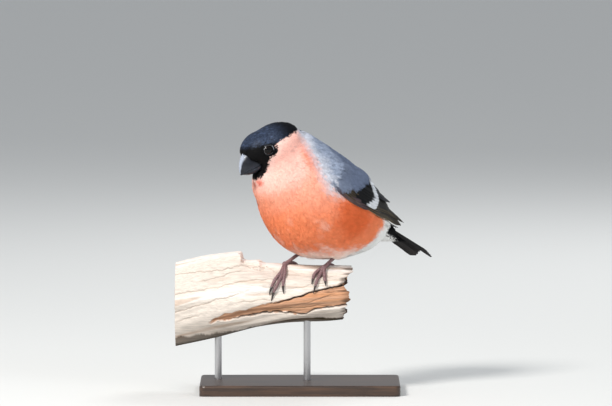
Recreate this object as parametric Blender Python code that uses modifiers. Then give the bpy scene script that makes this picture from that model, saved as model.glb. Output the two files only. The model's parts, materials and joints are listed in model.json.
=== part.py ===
"""A male bullfinch, life size and still, gripping a short cut length of weathered branch.

The branch is held over a plain base by two short rods. Every length is in metres, +Z is up, and
the origin is the centre of the base's underside. The bird looks along -X and turns its breast
towards -Y. Its body is shaped in a body frame (forward, left, up from the body's centre) and its
head in a head frame, and both are then turned and placed in the world.
"""

import math
import random

import bmesh
import bpy
from mathutils import Matrix, Vector

MM = 0.001
GAP = 0.3 * MM  # between pieces that touch

# The bird's place and pose
BODY_CENTRE = Vector((7.8, 0.0, 105.8)) * MM
BODY_YAW = 40.0  # degrees that the breast turns from -X towards -Y
HEAD_CENTRE = Vector((29.6, 0.0, 31.8)) * MM  # in the body frame
HEAD_YAW = 27.0
HEAD_PITCH = 24.5  # degrees that the bill points below level

# The body's sections from nape to tail: centre forward and up, the pitch of the section's axis in
# degrees, then half width, height above the centre and depth below it, all in millimetres
SECTIONS = (
    (22.9, 30.0, 60.0, 15.5, 18.5, 18.5),
    (17.8, 21.2, 50.0, 21.0, 23.5, 24.0),
    (10.4, 11.0, 42.0, 26.0, 27.5, 29.4),
    (0.6, 2.5, 34.0, 28.3, 29.5, 32.2),
    (-10.6, -3.1, 28.0, 28.0, 28.0, 31.2),
    (-21.0, -6.7, 24.0, 25.5, 24.0, 28.0),
    (-29.5, -9.2, 23.0, 21.5, 19.5, 24.8),
    (-37.5, -10.6, 23.0, 17.5, 15.5, 21.0),
    (-44.5, -12.6, 25.0, 14.0, 12.5, 17.0),
    (-51.5, -14.6, 27.0, 11.0, 9.5, 12.5),
    (-59.0, -17.6, 28.0, 9.0, 7.5, 7.5),
    (-68.0, -22.0, 28.0, 8.0, 5.5, 4.5),
    (-80.0, -28.0, 28.0, 7.5, 5.0, 4.0),
)
LAST_SOLID_SECTION = 10  # the sections behind it only guide the folded wings

# Rounded masses that the body's form is blended from: centre and radii in millimetres
HEAD_MASSES = (
    ((-1.6, 0.0, 0.0), (17.2, 13.6, 13.5)),  # skull and crown
    ((6.9, 0.0, 3.8), (12.6, 10.9, 9.6)),  # forehead
    ((7.2, 0.0, -3.4), (9.4, 8.8, 8.2)),  # face around the bill
    ((-3.0, 0.0, -6.6), (13.0, 13.6, 11.0)),  # cheeks
    ((11.4, 0.0, -11.2), (7.4, 7.2, 4.8)),  # chin
)
BODY_MASSES = (
    ((15.0, 0.0, 27.0), (17.0, 17.0, 15.0)),  # nape and shoulders
    ((24.0, 0.0, 12.0), (15.0, 18.5, 17.0)),  # upper breast
    ((-9.0, 9.5, -20.5), (11.0, 9.5, 11.5)),  # feathered left thigh
    ((-3.0, -9.5, -20.5), (11.0, 9.5, 11.5)),  # feathered right thigh
)
VOXEL = 1.0 * MM
SOFTEN_STEPS = 12

# The cuts that part the body, in the body frame: a point and the pitch of the cut's axis
HEAD_CUT = (Vector((19.8, 0.0, 21.0)) * MM, 50.0)
NECK_CUT = (Vector((13.8, 0.0, 14.2)) * MM, 46.0)
TAIL_CUT = (Vector((-47.0, 0.0, -13.5)) * MM, 27.0)
FINE_FACES = 5000  # of the whole body's form, where the head is taken from it
COARSE_FACES = 2600  # where the other pieces are

# Head parts, in the head frame
EYE_CENTRE = Vector((7.4, 8.9, 3.4)) * MM
EYE_RADIUS = 3.1 * MM
LID_RADIUS = 2.75 * MM
LID_THICKNESS = 0.6 * MM
LID_OUT = 10.75 * MM
LID_LEAN = 0.25  # how much the lids turn forward with the head's curve
# The bill's stations: forward, ridge height, cutting edge height, half width, underside of the
# lower half, in millimetres
BILL = (
    (11.0, 6.8, -3.0, 5.4, -6.6),
    (13.6, 6.8, -3.5, 5.3, -7.0),
    (16.2, 6.3, -3.7, 5.0, -7.2),
    (18.6, 5.2, -3.6, 4.5, -7.0),
    (20.8, 3.2, -3.6, 3.7, -6.4),
    (22.6, 0.6, -4.0, 2.6, -5.4),
    (23.8, -2.0, -4.6, 1.4, None),
    (24.3, -3.9, -5.1, 0.5, None),
)
NOSTRIL = Vector((17.2, 3.0, 4.2)) * MM
NOSTRIL_RADIUS = 0.55 * MM

# The folded wing is laid out on the body's side: along it from the wrist, and across it from its
# leading edge towards the back, in millimetres
WRIST_ALONG = 17.0
LEADING_ANGLE = 3.0
WING_END = 84.0  # just past the longest feather
NEAR_BACK = 60.0  # degrees past which the wing's upper edge is drawn in, short of the other wing
NEAREST_BACK = 86.0
WING_SINK = 1.6  # the wing's inner face lies this far under the body's surface
VANE = 0.6  # thickness of a vane
PAD_LENGTH = 35.0
PAD_TOP = 1.5

# The tail, in millimetres from its root along its own line
TAIL_ROOT = Vector((-44.0, 0.0, -8.2)) * MM
TAIL_PITCH = 27.5
TAIL_LENGTH = 45.0

# The branch: stations of place along X, place along Y, height of the axis, half height, half depth
BRANCH = (
    (-70.0, 12.0, 47.0, 22.2, 21.5),
    (-51.0, 9.6, 51.4, 22.4, 21.5),
    (-34.0, 7.2, 54.4, 21.6, 20.6),
    (-24.0, 5.8, 54.8, 19.6, 19.2),
    (-8.0, 3.6, 55.0, 16.8, 16.8),
    (6.0, 1.6, 55.0, 15.2, 15.4),
    (20.0, -0.4, 55.6, 14.8, 14.6),
    (29.0, -1.7, 56.0, 14.4, 14.2),
)
# Where the broken end's edge lies along X, by the angle round the branch
BROKEN_EDGE = (
    (-20.0, 25.0), (20.0, 24.0), (60.0, 27.0), (112.0, 28.9), (138.0, 26.8), (155.0, 23.4),
    (172.0, 26.8), (190.0, 27.7), (219.0, 24.8), (250.0, 24.0), (300.0, 24.6), (340.0, 25.0),
    (380.0, 24.0),
)
CRACK = ((-30.0, 199.0), (-16.0, 196.0), (-1.5, 184.0), (7.5, 172.0), (24.6, 158.0))

# Legs, in world millimetres, from inside the body by the heel to the joint of the toes
LEG_TUBES = {
    "left": ((19.0, -3.0, 86.5), (24.6, 2.4, 79.8), (19.4, -2.0, 75.4), (13.2, -6.9, 70.0)),
    "right": ((-2.5, 1.5, 86.5), (3.0, 7.0, 79.6), (-2.6, 2.4, 75.6), (-8.4, -2.3, 71.6)),
}
LEG_RADIUS = 1.25 * MM
# Toes by place along X and height on the branch's near side, the last two points being the claw,
# and the hind toe by place along X and angle round the branch's top
TOES = {
    "left": (
        ((10.6, 69.0), (8.2, 66.9), (7.2, 64.2), (6.6, 61.2)),
        ((11.7, 67.6), (9.6, 63.6), (8.6, 60.4), (7.5, 56.0)),
        ((13.6, 67.2), (13.9, 64.6), (14.2, 62.6), (14.4, 60.2)),
    ),
    "right": (
        ((-10.8, 67.6), (-13.6, 64.4), (-16.0, 59.4), (-17.2, 55.2)),
        ((-10.2, 66.4), (-12.8, 60.8), (-14.8, 56.4), (-16.2, 50.4)),
        ((-8.4, 67.8), (-9.1, 63.8), (-9.5, 60.0), (-9.1, 55.8)),
    ),
}
HIND_TOES = {
    "left": ((14.6, 104.0), (17.4, 84.0), (19.6, 62.0), (20.8, 44.0)),
    "right": ((-6.4, 98.0), (-3.4, 80.0), (-1.0, 62.0), (0.4, 46.0)),
}
TOE_RADII = (1.2, 1.1, 0.85, 0.2)

# The stand
BASE_SIZE = Vector((112.0, 64.0, 6.0)) * MM
BASE_CORNER = 3.0 * MM
ROD_RADIUS = 2.0 * MM
ROD_PLACES = (("stand_rod_left", -46.0), ("stand_rod_right", 4.0))
ROD_SOCKET = 2.5 * MM
ROD_GRIP = 6.0 * MM

COLOURS = {
    "cap_black": ((0.012, 0.013, 0.018), 0.45, 0.0),
    "bill_grey": ((0.06, 0.065, 0.075), 0.4, 0.0),
    "eye_dark": ((0.012, 0.008, 0.006), 0.08, 0.0),
    "breast_red": ((0.72, 0.2, 0.1), 0.85, 0.0),
    "mantle_grey": ((0.2, 0.23, 0.28), 0.8, 0.0),
    "wing_black": ((0.02, 0.022, 0.028), 0.5, 0.0),
    "leg_brown": ((0.13, 0.075, 0.06), 0.6, 0.0),
    "bleached_wood": ((0.62, 0.52, 0.4), 0.85, 0.0),
    "base_dark": ((0.04, 0.03, 0.025), 0.5, 0.0),
    "rod_steel": ((0.5, 0.5, 0.5), 0.35, 1.0),
}


def clear_scene():
    for obj in list(bpy.data.objects):
        bpy.data.objects.remove(obj, do_unlink=True)


def new_collection(name):
    collection = bpy.data.collections.new(name)
    bpy.context.scene.collection.children.link(collection)
    return collection


def material(name):
    colour, roughness, metallic = COLOURS[name]
    made = bpy.data.materials.get(name) or bpy.data.materials.new(name)
    made.use_nodes = True
    shader = made.node_tree.nodes["Principled BSDF"]
    shader.inputs["Base Color"].default_value = (*colour, 1.0)
    shader.inputs["Roughness"].default_value = roughness
    shader.inputs["Metallic"].default_value = metallic
    return made


# Frames

def facing(centre, yaw, pitch=0.0):
    """The frame at centre that looks along -X, turned by yaw towards -Y and tipped down by pitch."""
    turn = Matrix.Rotation(math.radians(180 + yaw), 4, "Z")
    tip = Matrix.Rotation(math.radians(pitch), 4, "Y")
    return Matrix.Translation(centre) @ turn @ tip


BODY = facing(BODY_CENTRE, BODY_YAW)
HEAD = facing(BODY @ HEAD_CENTRE, HEAD_YAW, HEAD_PITCH)
RIGHT_SIDE = Matrix.Diagonal((1, -1, 1, 1))


def smooth_between(stations, place):
    """The stations' values at place, by a smooth curve; the first value of a station is its place."""
    last = len(stations) - 2
    index = 0
    while index < last and (place - stations[index + 1][0]) * (stations[-1][0] - stations[0][0]) > 0:
        index += 1
    low, high = stations[index], stations[index + 1]
    share = (place - low[0]) / (high[0] - low[0])
    before = stations[max(index - 1, 0)]
    after = stations[min(index + 2, len(stations) - 1)]
    values = []
    for k in range(1, len(low)):
        span = high[0] - low[0]
        rise_low = (high[k] - before[k]) / (high[0] - before[0]) * span
        rise_high = (after[k] - low[k]) / (after[0] - low[0]) * span
        values.append(
            (2 * share**3 - 3 * share**2 + 1) * low[k]
            + (share**3 - 2 * share**2 + share) * rise_low
            + (-2 * share**3 + 3 * share**2) * high[k]
            + (share**3 - share**2) * rise_high
        )
    return values


def sections_by_length():
    """The body's sections with the length along its centre line put first, in millimetres."""
    along = 0.0
    placed = []
    for index, section in enumerate(SECTIONS):
        if index:
            before = SECTIONS[index - 1]
            along += math.hypot(section[0] - before[0], section[1] - before[1])
        placed.append((along, *section))
    return placed


GUIDE = sections_by_length()


def side_point(along, angle, lift=0.0):
    """A point of the body's surface in the body frame, raised by lift.

    along runs back from the nape in millimetres, and angle is in degrees: 0 on the left side,
    90 on the back and -90 on the belly.
    """
    forward, up, pitch, half_width, above, below = smooth_between(GUIDE, along)
    turn = math.radians(angle)
    depth = above if angle > 0 else below
    out = Vector((math.cos(turn) / half_width, math.sin(turn) / depth)).normalized()
    across = half_width * math.cos(turn) + out.x * lift
    height = depth * math.sin(turn) + out.y * lift
    lean = math.radians(pitch)
    return Vector((forward - height * math.sin(lean), across, up + height * math.cos(lean))) * MM


# Making and joining meshes

def link_mesh(name, bm, collection):
    mesh = bpy.data.meshes.new(name)
    bm.to_mesh(mesh)
    bm.free()
    obj = bpy.data.objects.new(name, mesh)
    collection.objects.link(obj)
    return obj


def add_loft(bm, rings, as_triangles=False):
    """A closed skin over rings of equally many points, with flat ends."""
    count = len(rings[0])
    verts = [[bm.verts.new(point) for point in ring] for ring in rings]
    for near, far in zip(verts, verts[1:]):
        for k in range(count):
            after = (k + 1) % count
            if not as_triangles:
                bm.faces.new((near[k], near[after], far[after], far[k]))
            elif k >= count // 2:
                bm.faces.new((near[k], near[after], far[after]))
                bm.faces.new((near[k], far[after], far[k]))
            else:
                bm.faces.new((near[k], near[after], far[k]))
                bm.faces.new((near[after], far[after], far[k]))
    bm.faces.new(list(reversed(verts[0])))
    bm.faces.new(verts[-1])


def outward(bm):
    bmesh.ops.recalc_face_normals(bm, faces=bm.faces)


def freeze(obj):
    """Makes what the modifiers show the object's own mesh."""
    graph = bpy.context.evaluated_depsgraph_get()
    graph.update()
    mesh = bpy.data.meshes.new_from_object(obj.evaluated_get(graph))
    mesh.transform(obj.matrix_world)
    obj.modifiers.clear()
    obj.data = mesh
    obj.matrix_world = Matrix.Identity(4)
    return obj


def keep_largest(obj):
    """Drops all but the largest closed surface of a mesh."""
    bm = bmesh.new()
    bm.from_mesh(obj.data)
    bmesh.ops.remove_doubles(bm, verts=bm.verts, dist=0.001 * MM)
    left = set(bm.faces)
    pieces = []
    while left:
        stack = [left.pop()]
        piece = []
        while stack:
            face = stack.pop()
            piece.append(face)
            for edge in face.edges:
                for other in edge.link_faces:
                    if other in left:
                        left.remove(other)
                        stack.append(other)
        pieces.append(piece)
    pieces.sort(key=lambda piece: sum(face.calc_area() for face in piece), reverse=True)
    loose = [face for piece in pieces[1:] for face in piece]
    bmesh.ops.delete(bm, geom=loose, context="FACES")
    bm.to_mesh(obj.data)
    bm.free()
    return obj


def combine(obj, others, operation="DIFFERENCE", solver="EXACT"):
    """Joins the others to the object or cuts them from it, and removes them."""
    group = bpy.data.collections.new("operands")
    bpy.context.scene.collection.children.link(group)
    for other in others:
        for home in list(other.users_collection):
            home.objects.unlink(other)
        group.objects.link(other)
    boolean = obj.modifiers.new("combine", "BOOLEAN")
    boolean.operand_type = "COLLECTION"
    boolean.collection = group
    boolean.operation = operation
    boolean.solver = solver
    freeze(obj)
    for other in others:
        bpy.data.objects.remove(other, do_unlink=True)
    bpy.data.collections.remove(group)
    return keep_largest(obj)


def thin_out(obj, faces):
    """Brings a mesh down to about so many triangles."""
    decimate = obj.modifiers.new("thin out", "DECIMATE")
    decimate.ratio = faces / sum(len(polygon.vertices) - 2 for polygon in obj.data.polygons)
    decimate.use_collapse_triangulate = True
    return keep_largest(freeze(obj))


def tube(name, points, radii, collection, sides=1, smooth=False):
    """A round limb through the points, as wide as each radius says, with closed ends."""
    curve = bpy.data.curves.new(name, "CURVE")
    curve.dimensions = "3D"
    curve.bevel_depth = 1.0
    curve.bevel_resolution = sides
    curve.use_fill_caps = True
    spline = curve.splines.new("POLY")
    if smooth:
        points, radii = smoothed_route(points, radii)
    spline.points.add(len(points) - 1)
    for control, point, radius in zip(spline.points, points, radii):
        control.co = (*point, 1.0)
        control.radius = radius
    drawn = bpy.data.objects.new(name, curve)
    collection.objects.link(drawn)
    graph = bpy.context.evaluated_depsgraph_get()
    mesh = bpy.data.meshes.new_from_object(drawn.evaluated_get(graph))
    bpy.data.objects.remove(drawn, do_unlink=True)
    bm = bmesh.new()
    bm.from_mesh(mesh)
    bpy.data.meshes.remove(mesh)
    bmesh.ops.remove_doubles(bm, verts=bm.verts, dist=0.001 * MM)
    outward(bm)
    return link_mesh(name, bm, collection)


def smoothed_route(points, radii, steps=2):
    """More points and radii along the smooth curve through the given ones."""
    stations = [(float(k), *point, radius) for k, (point, radius) in enumerate(zip(points, radii))]
    count = (len(points) - 1) * steps
    read = [smooth_between(stations, k / steps) for k in range(count + 1)]
    return [Vector(values[:3]) for values in read], [max(values[3], 0.1 * MM) for values in read]


def mirrored(source, name, frame, collection):
    """A copy of a body-frame piece on the bird's other side, placed in the world."""
    bm = bmesh.new()
    bm.from_mesh(source.data)
    bmesh.ops.transform(bm, matrix=frame @ RIGHT_SIDE, verts=bm.verts)
    bmesh.ops.reverse_faces(bm, faces=bm.faces)
    return link_mesh(name, bm, collection)


# The body's form

def add_mass(bm, frame, centre, radii):
    place = frame @ Matrix.Translation(Vector(centre) * MM)
    size = Matrix.Diagonal((*(Vector(radii) * MM), 1.0))
    bmesh.ops.create_uvsphere(bm, u_segments=32, v_segments=20, radius=1.0, matrix=place @ size)


def body_form(collection):
    """Head, neck, torso and rump as one soft form in the world."""
    bm = bmesh.new()
    rings = []
    solid_length = GUIDE[LAST_SOLID_SECTION][0]
    steps = 34
    for step in range(steps + 1):
        along = solid_length * step / steps
        rings.append([BODY @ side_point(along, angle) for angle in range(0, 181, 10)])
        rings[-1] += [BODY @ side_point(along, angle) for angle in range(-170, 0, 10)]
    add_loft(bm, rings)
    outward(bm)
    for centre, radii in HEAD_MASSES:
        add_mass(bm, HEAD, centre, radii)
    for centre, radii in BODY_MASSES:
        add_mass(bm, BODY, centre, radii)
    form = link_mesh("body_form", bm, collection)
    remesh = form.modifiers.new("blend", "REMESH")
    remesh.mode = "VOXEL"
    remesh.voxel_size = VOXEL
    soften = form.modifiers.new("soften", "SMOOTH")
    soften.factor = 0.5
    soften.iterations = SOFTEN_STEPS
    return keep_largest(freeze(form))


def half_space(name, cut, behind, collection):
    """A large block that ends at a cut through the body, half a gap short of it."""
    point, pitch = cut
    size = 160 * MM
    frame = BODY @ Matrix.Translation(point) @ Matrix.Rotation(math.radians(-pitch), 4, "Y")
    shift = (size / 2 + GAP / 2) * (-1 if behind else 1)
    bm = bmesh.new()
    bmesh.ops.create_cube(bm, size=size, matrix=frame @ Matrix.Translation((shift, 0, 0)))
    return link_mesh(name, bm, collection)


def copy_of(source, name, collection):
    obj = bpy.data.objects.new(name, source.data.copy())
    collection.objects.link(obj)
    return obj


def part_body(form, parts):
    """Parts the body's form into head, neck, torso and the root of the tail."""
    head = thin_out(copy_of(form, "head", parts), FINE_FACES)
    combine(head, [half_space("keep", HEAD_CUT, False, parts)], "INTERSECT")
    coarse = thin_out(form, COARSE_FACES)
    neck = copy_of(coarse, "neck", parts)
    combine(neck, [half_space("keep", HEAD_CUT, True, parts)], "INTERSECT")
    combine(neck, [half_space("keep", NECK_CUT, False, parts)], "INTERSECT")
    torso = copy_of(coarse, "torso", parts)
    combine(torso, [half_space("keep", NECK_CUT, True, parts)], "INTERSECT")
    combine(torso, [half_space("keep", TAIL_CUT, False, parts)], "INTERSECT")
    tail = copy_of(coarse, "tail", parts)
    combine(tail, [half_space("keep", TAIL_CUT, True, parts)], "INTERSECT")
    bpy.data.objects.remove(form, do_unlink=True)
    return head, neck, torso, tail


# Bill, eyes and lids

def bill_ring(station, upper, grow=0.0):
    """One section of the bill's upper or lower half, in the head frame."""
    forward, ridge, edge, half_width, underside = station
    reach = (ridge - edge) if upper else (edge - underside)
    base = edge + (0.15 if upper else -0.15)
    points = []
    count = 9
    for k in range(count):
        turn = math.pi * k / (count - 1)
        out = max(math.sin(turn), 0.0) ** 0.8
        side = math.cos(turn)
        across = side * (half_width + grow)
        height = base - grow if upper else base + grow
        rise = (reach - 0.15 + 2 * grow) * out
        points.append(Vector((forward, across, height + (rise if upper else -rise))) * MM)
    return points


def bill_half(name, upper, collection, grow=0.0):
    bm = bmesh.new()
    stations = [station for station in BILL if upper or station[4] is not None]
    rings = [bill_ring(station, upper, grow) for station in stations]
    add_loft(bm, [[HEAD @ point for point in ring] for ring in rings])
    outward(bm)
    return link_mesh(name, bm, collection)


def ball(name, frame, centre, radius, collection, segments=14, rings=10):
    bm = bmesh.new()
    place = frame @ Matrix.Translation(centre)
    bmesh.ops.create_uvsphere(bm, u_segments=segments, v_segments=rings, radius=radius, matrix=place)
    return link_mesh(name, bm, collection)


def lid(name, side, collection):
    """The ring of bare skin round the eye."""
    bm = bmesh.new()
    rings = []
    around, across = 14, 5
    for k in range(around):
        turn = 2 * math.pi * k / around
        ring = []
        for j in range(across):
            tilt = 2 * math.pi * j / across
            radius = LID_RADIUS + LID_THICKNESS * math.cos(tilt)
            point = Vector((
                EYE_CENTRE.x + radius * math.cos(turn),
                side * (LID_OUT + LID_THICKNESS * math.sin(tilt)),
                EYE_CENTRE.z + radius * math.sin(turn),
            ))
            # the ring follows the head's curve
            point.y -= side * LID_LEAN * (point.x - EYE_CENTRE.x)
            ring.append(bm.verts.new(HEAD @ point))
        rings.append(ring)
    for near, far in zip(rings, rings[1:] + rings[:1]):
        for j in range(across):
            after = (j + 1) % across
            bm.faces.new((near[j], near[after], far[after], far[j]))
    outward(bm)
    return link_mesh(name, bm, collection)


def make_head_parts(head, parts):
    upper = bill_half("bill_upper", True, parts)
    lower = bill_half("bill_lower", False, parts)
    cutters = [
        bill_half("cut", True, parts, grow=GAP / MM),
        bill_half("cut", False, parts, grow=GAP / MM),
    ]
    combine(head, cutters[:1])
    combine(head, cutters[1:])
    nostrils = []
    eyes = []
    for name, side in (("left", 1), ("right", -1)):
        centre = Vector((EYE_CENTRE.x, side * EYE_CENTRE.y, EYE_CENTRE.z))
        combine(head, [lid("lid", side, parts)], "UNION")
        combine(head, [ball("cut", HEAD, centre, EYE_RADIUS + GAP, parts, 14, 8)])
        eyes.append(ball("eye_" + name, HEAD, centre, EYE_RADIUS, parts))
        place = Vector((NOSTRIL.x, side * NOSTRIL.y, NOSTRIL.z))
        nostrils.append(ball("cut", HEAD, place, NOSTRIL_RADIUS, parts, 8, 6))
    combine(upper, nostrils)
    return upper, lower, eyes


# Feathers

def add_vane(place, start, end, half_width, tilt, bend=0.0, sharp=0.35, stations=4, thick=VANE):
    """One flat tapered feather as a closed mesh.

    place turns along, across and lift, in millimetres, into a point. start and end are the
    middle of the root and of the tip. tilt raises the edge nearer the leading edge.
    """
    bm = bmesh.new()
    rings = []
    for k in range(stations):
        share = k / (stations - 1)
        along, across, lift = (a + (b - a) * share for a, b in zip(start, end))
        across += bend * math.sin(math.pi * share)
        swell = min(1.0, 0.6 + 1.6 * share) if share < 0.8 else 1.0
        width = half_width * swell * (sharp if k == stations - 1 else 1.0)
        depth = thick * (0.75 if k == stations - 1 else 1.0)
        rings.append([
            place(along, across - width, lift + tilt * width),
            place(along, across + width, lift - tilt * width),
            place(along, across + width, lift - tilt * width - depth),
            place(along, across - width, lift + tilt * width - depth),
        ])
    add_loft(bm, rings, as_triangles=True)
    outward(bm)
    return bm


def add_block(place, alongs, acrosses, low, high):
    """A closed slab over a chart, between two lifts that may change over it."""
    bm = bmesh.new()
    tops = [[bm.verts.new(place(u, v, high(u, v))) for v in acrosses] for u in alongs]
    floors = [[bm.verts.new(place(u, v, low(u, v))) for v in acrosses] for u in alongs]
    for i in range(len(alongs) - 1):
        for j in range(len(acrosses) - 1):
            bm.faces.new((tops[i][j], tops[i + 1][j], tops[i + 1][j + 1], tops[i][j + 1]))
            bm.faces.new((floors[i][j], floors[i][j + 1], floors[i + 1][j + 1], floors[i + 1][j]))
    last_u, last_v = len(alongs) - 1, len(acrosses) - 1
    for i in range(last_u):
        bm.faces.new((tops[i][0], floors[i][0], floors[i + 1][0], tops[i + 1][0]))
        bm.faces.new((tops[i][last_v], tops[i + 1][last_v], floors[i + 1][last_v], floors[i][last_v]))
    for j in range(last_v):
        bm.faces.new((tops[0][j], tops[0][j + 1], floors[0][j + 1], floors[0][j]))
        bm.faces.new((tops[last_u][j], floors[last_u][j], floors[last_u][j + 1], tops[last_u][j + 1]))
    outward(bm)
    return bm


def wing_angle(along, across):
    half_width, above = smooth_between(GUIDE, WRIST_ALONG + along)[3:5]
    return LEADING_ANGLE + math.degrees(2 * across / (half_width + above))


def wing_place(along, across, lift):
    """A point of the left wing's chart, in the body frame."""
    angle = wing_angle(along, across)
    if angle > NEAR_BACK:
        room = NEAREST_BACK - NEAR_BACK
        angle = NEAR_BACK + room * (1 - math.exp((NEAR_BACK - angle) / room))
    return side_point(WRIST_ALONG + along, angle, lift)


def wing_edges(along):
    """Where the folded wing's leading edge and upper edge lie across it, at a place along it."""
    top = 24.0 - 0.11 * along if along < 50 else max(18.5 - 0.32 * (along - 50), 4.0)
    shoulder = min(max(along, 0.0) / 10.0, 1.0)
    narrow = 1 - math.sqrt(1 - (1 - shoulder) ** 2)
    return 8.0 * narrow, top - 8.0 * narrow


def wing_recess(name, collection):
    """The space that the wing takes from the body, a gap wider than the wing's inner face."""
    alongs = [-0.5, 1.5, 4.0, 8.0] + [8.0 + (WING_END - 8.0) * k / 10 for k in range(1, 11)]

    def place(along, share, lift):
        low, high = wing_edges(along)
        across = low - 0.5 + (high - low + 1.5) * share
        return side_point(WRIST_ALONG + along, wing_angle(along, across), lift)

    shares = [k / 5 for k in range(6)]
    floor = -WING_SINK - GAP / MM
    bm = add_block(place, alongs, shares, lambda u, v: floor, lambda u, v: 9.0)
    return link_mesh(name, bm, collection)


def wing_rows():
    """Each row of the folded wing's feathers: root, tip, half width and how many."""
    rows = []
    tips = (79.0, 81.0, 81.5, 79.0, 75.0, 70.5, 66.5)
    for j, tip in enumerate(tips):  # primaries, the outermost first
        rows.append(((20.0, 2.4 + 1.1 * j, 0.2), (tip, 2.2 + 0.62 * j, 0.1), 2.3))
    for j in range(5):  # secondaries
        rows.append(((18.0, 9.5 + 1.9 * j, 0.3), (62.0 - 0.8 * j, 7.2 + 1.35 * j, 0.3), 2.6))
    for j in range(3):  # tertials
        rows.append(((18.0, 16.0 + 1.6 * j, 0.9), (63.0 - 8.5 * j, 12.0 + 1.8 * j, 1.9), 3.0))
    for j in range(4):  # coverts of the primaries
        rows.append(((16.0, 2.6 + 1.3 * j, 0.9), (49.0 - 1.4 * j, 2.6 + 1.3 * j, 1.6), 2.0))
    for j in range(8):  # greater coverts
        rows.append(((16.0, 7.6 + 2.0 * j, 1.0), (44.5 - 0.9 * j, 6.6 + 1.75 * j, 2.3), 2.3))
    for j in range(2):  # the feathers of the thumb
        rows.append(((10.0, 2.6 + 1.6 * j, 1.0), (34.0 - 6.0 * j, 3.0 + 1.8 * j, 2.4), 2.1))
    for j in range(7):  # median coverts
        rows.append(((8.0, 5.6 + 2.5 * j, 1.0), (30.0 - 0.6 * j, 6.6 + 2.35 * j, 2.9), 2.5))
    return rows


def make_wing(collection):
    """The left wing, in the body frame."""
    low_edge, tilt = -WING_SINK, 0.17
    alongs = [0.0, 1.5, 4.0, 8.0, 15.0, 22.0, 29.0, PAD_LENGTH]
    shares = [0.0, 0.12, 0.3, 0.5, 0.7, 0.88, 1.0]

    def place(along, share, lift):
        low, high = wing_edges(along)
        return wing_place(along, low + (high - low) * share, lift)

    def top(along, share):
        edge = min(share, 1 - share, 0.2) / 0.2
        front = min(along / 8.0, 1.0)
        back = min((PAD_LENGTH - along) / 10.0, 1.0)
        return -0.6 + (PAD_TOP + 0.6) * min(edge, front, back)

    pad = link_mesh("wing", add_block(place, alongs, shares, lambda u, v: low_edge, top), collection)
    draw = random.Random(5)
    vanes = []
    for start, end, half_width in wing_rows():
        width = half_width * draw.uniform(0.95, 1.05)
        tip = (end[0] + draw.uniform(-0.5, 0.5), end[1], end[2])
        vanes.append(link_mesh("vane", add_vane(wing_place, start, tip, width, tilt), collection))
    return combine(pad, vanes, "UNION")


def tail_place(along, across, lift):
    """A point of the tail's chart, in the world: back along it, to the left and up from it."""
    pitch = math.radians(TAIL_PITCH)
    arch = lift - 0.035 * across**2 * min(along / 20.0, 1.0)
    back = Vector((-math.cos(pitch), 0.0, -math.sin(pitch))) * along * MM
    up = Vector((-math.sin(pitch), 0.0, math.cos(pitch))) * arch * MM
    return BODY @ (TAIL_ROOT + back + up + Vector((0.0, across * MM, 0.0)))


def make_tail(root, collection):
    """Tail feathers under their coverts, grown from the root of the tail."""
    vanes = []
    for side in (1, -1):
        for j in range(6):  # from the middle pair outwards
            start = (7.0, side * (0.9 + 0.6 * j), -2.0 - 0.3 * j)
            end = (TAIL_LENGTH - 2.0 + 0.45 * j, side * (1.6 + 1.05 * j), -2.0 - 0.3 * j)
            bm = add_vane(tail_place, start, end, 2.4, -side * 0.1, sharp=0.6)
            vanes.append(link_mesh("vane", bm, collection))
        for j in range(3):  # upper coverts
            start = (7.0, side * (0.9 + 2.0 * j), -0.6 - 0.3 * j)
            end = (19.0 - 2.5 * j, side * (1.6 + 2.1 * j), 0.2 - 0.4 * j)
            vanes.append(link_mesh("vane", add_vane(tail_place, start, end, 2.3, -side * 0.1), collection))
        for j in range(4):  # under coverts
            start = (7.0, side * (0.9 + 1.9 * j), -10.2 + 0.6 * j)
            end = (25.0 - 2.6 * j, side * (1.2 + 1.9 * j), -7.0 + 0.4 * j)
            bm = add_vane(tail_place, start, end, 2.5, side * 0.1, thick=1.0)
            vanes.append(link_mesh("vane", bm, collection))
    return combine(root, vanes, "UNION")


# Branch

def branch_at(x):
    """The branch's axis and half sizes at a place along X, in millimetres."""
    return smooth_between(BRANCH, x)


def branch_point(x, angle, lift=0.0):
    """A point of the branch's surface without its fine ridges.

    angle is in degrees: 0 on the far side, 90 on top, 180 on the near side.
    """
    y, z, half_height, half_depth = branch_at(x)
    turn = math.radians(angle)
    step = 1.9 / (1 + math.exp((x + 31.5) * 1.6)) * max(0.0, math.cos(turn - math.pi / 2)) ** 3
    across = (half_depth + lift) * math.cos(turn)
    height = (half_height + step + lift) * math.sin(turn)
    return Vector((x, y + across, z + height)) * MM


def crack_angle(x):
    x = min(max(x, CRACK[0][0]), CRACK[-1][0])
    return smooth_between(CRACK, x)[0]


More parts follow.
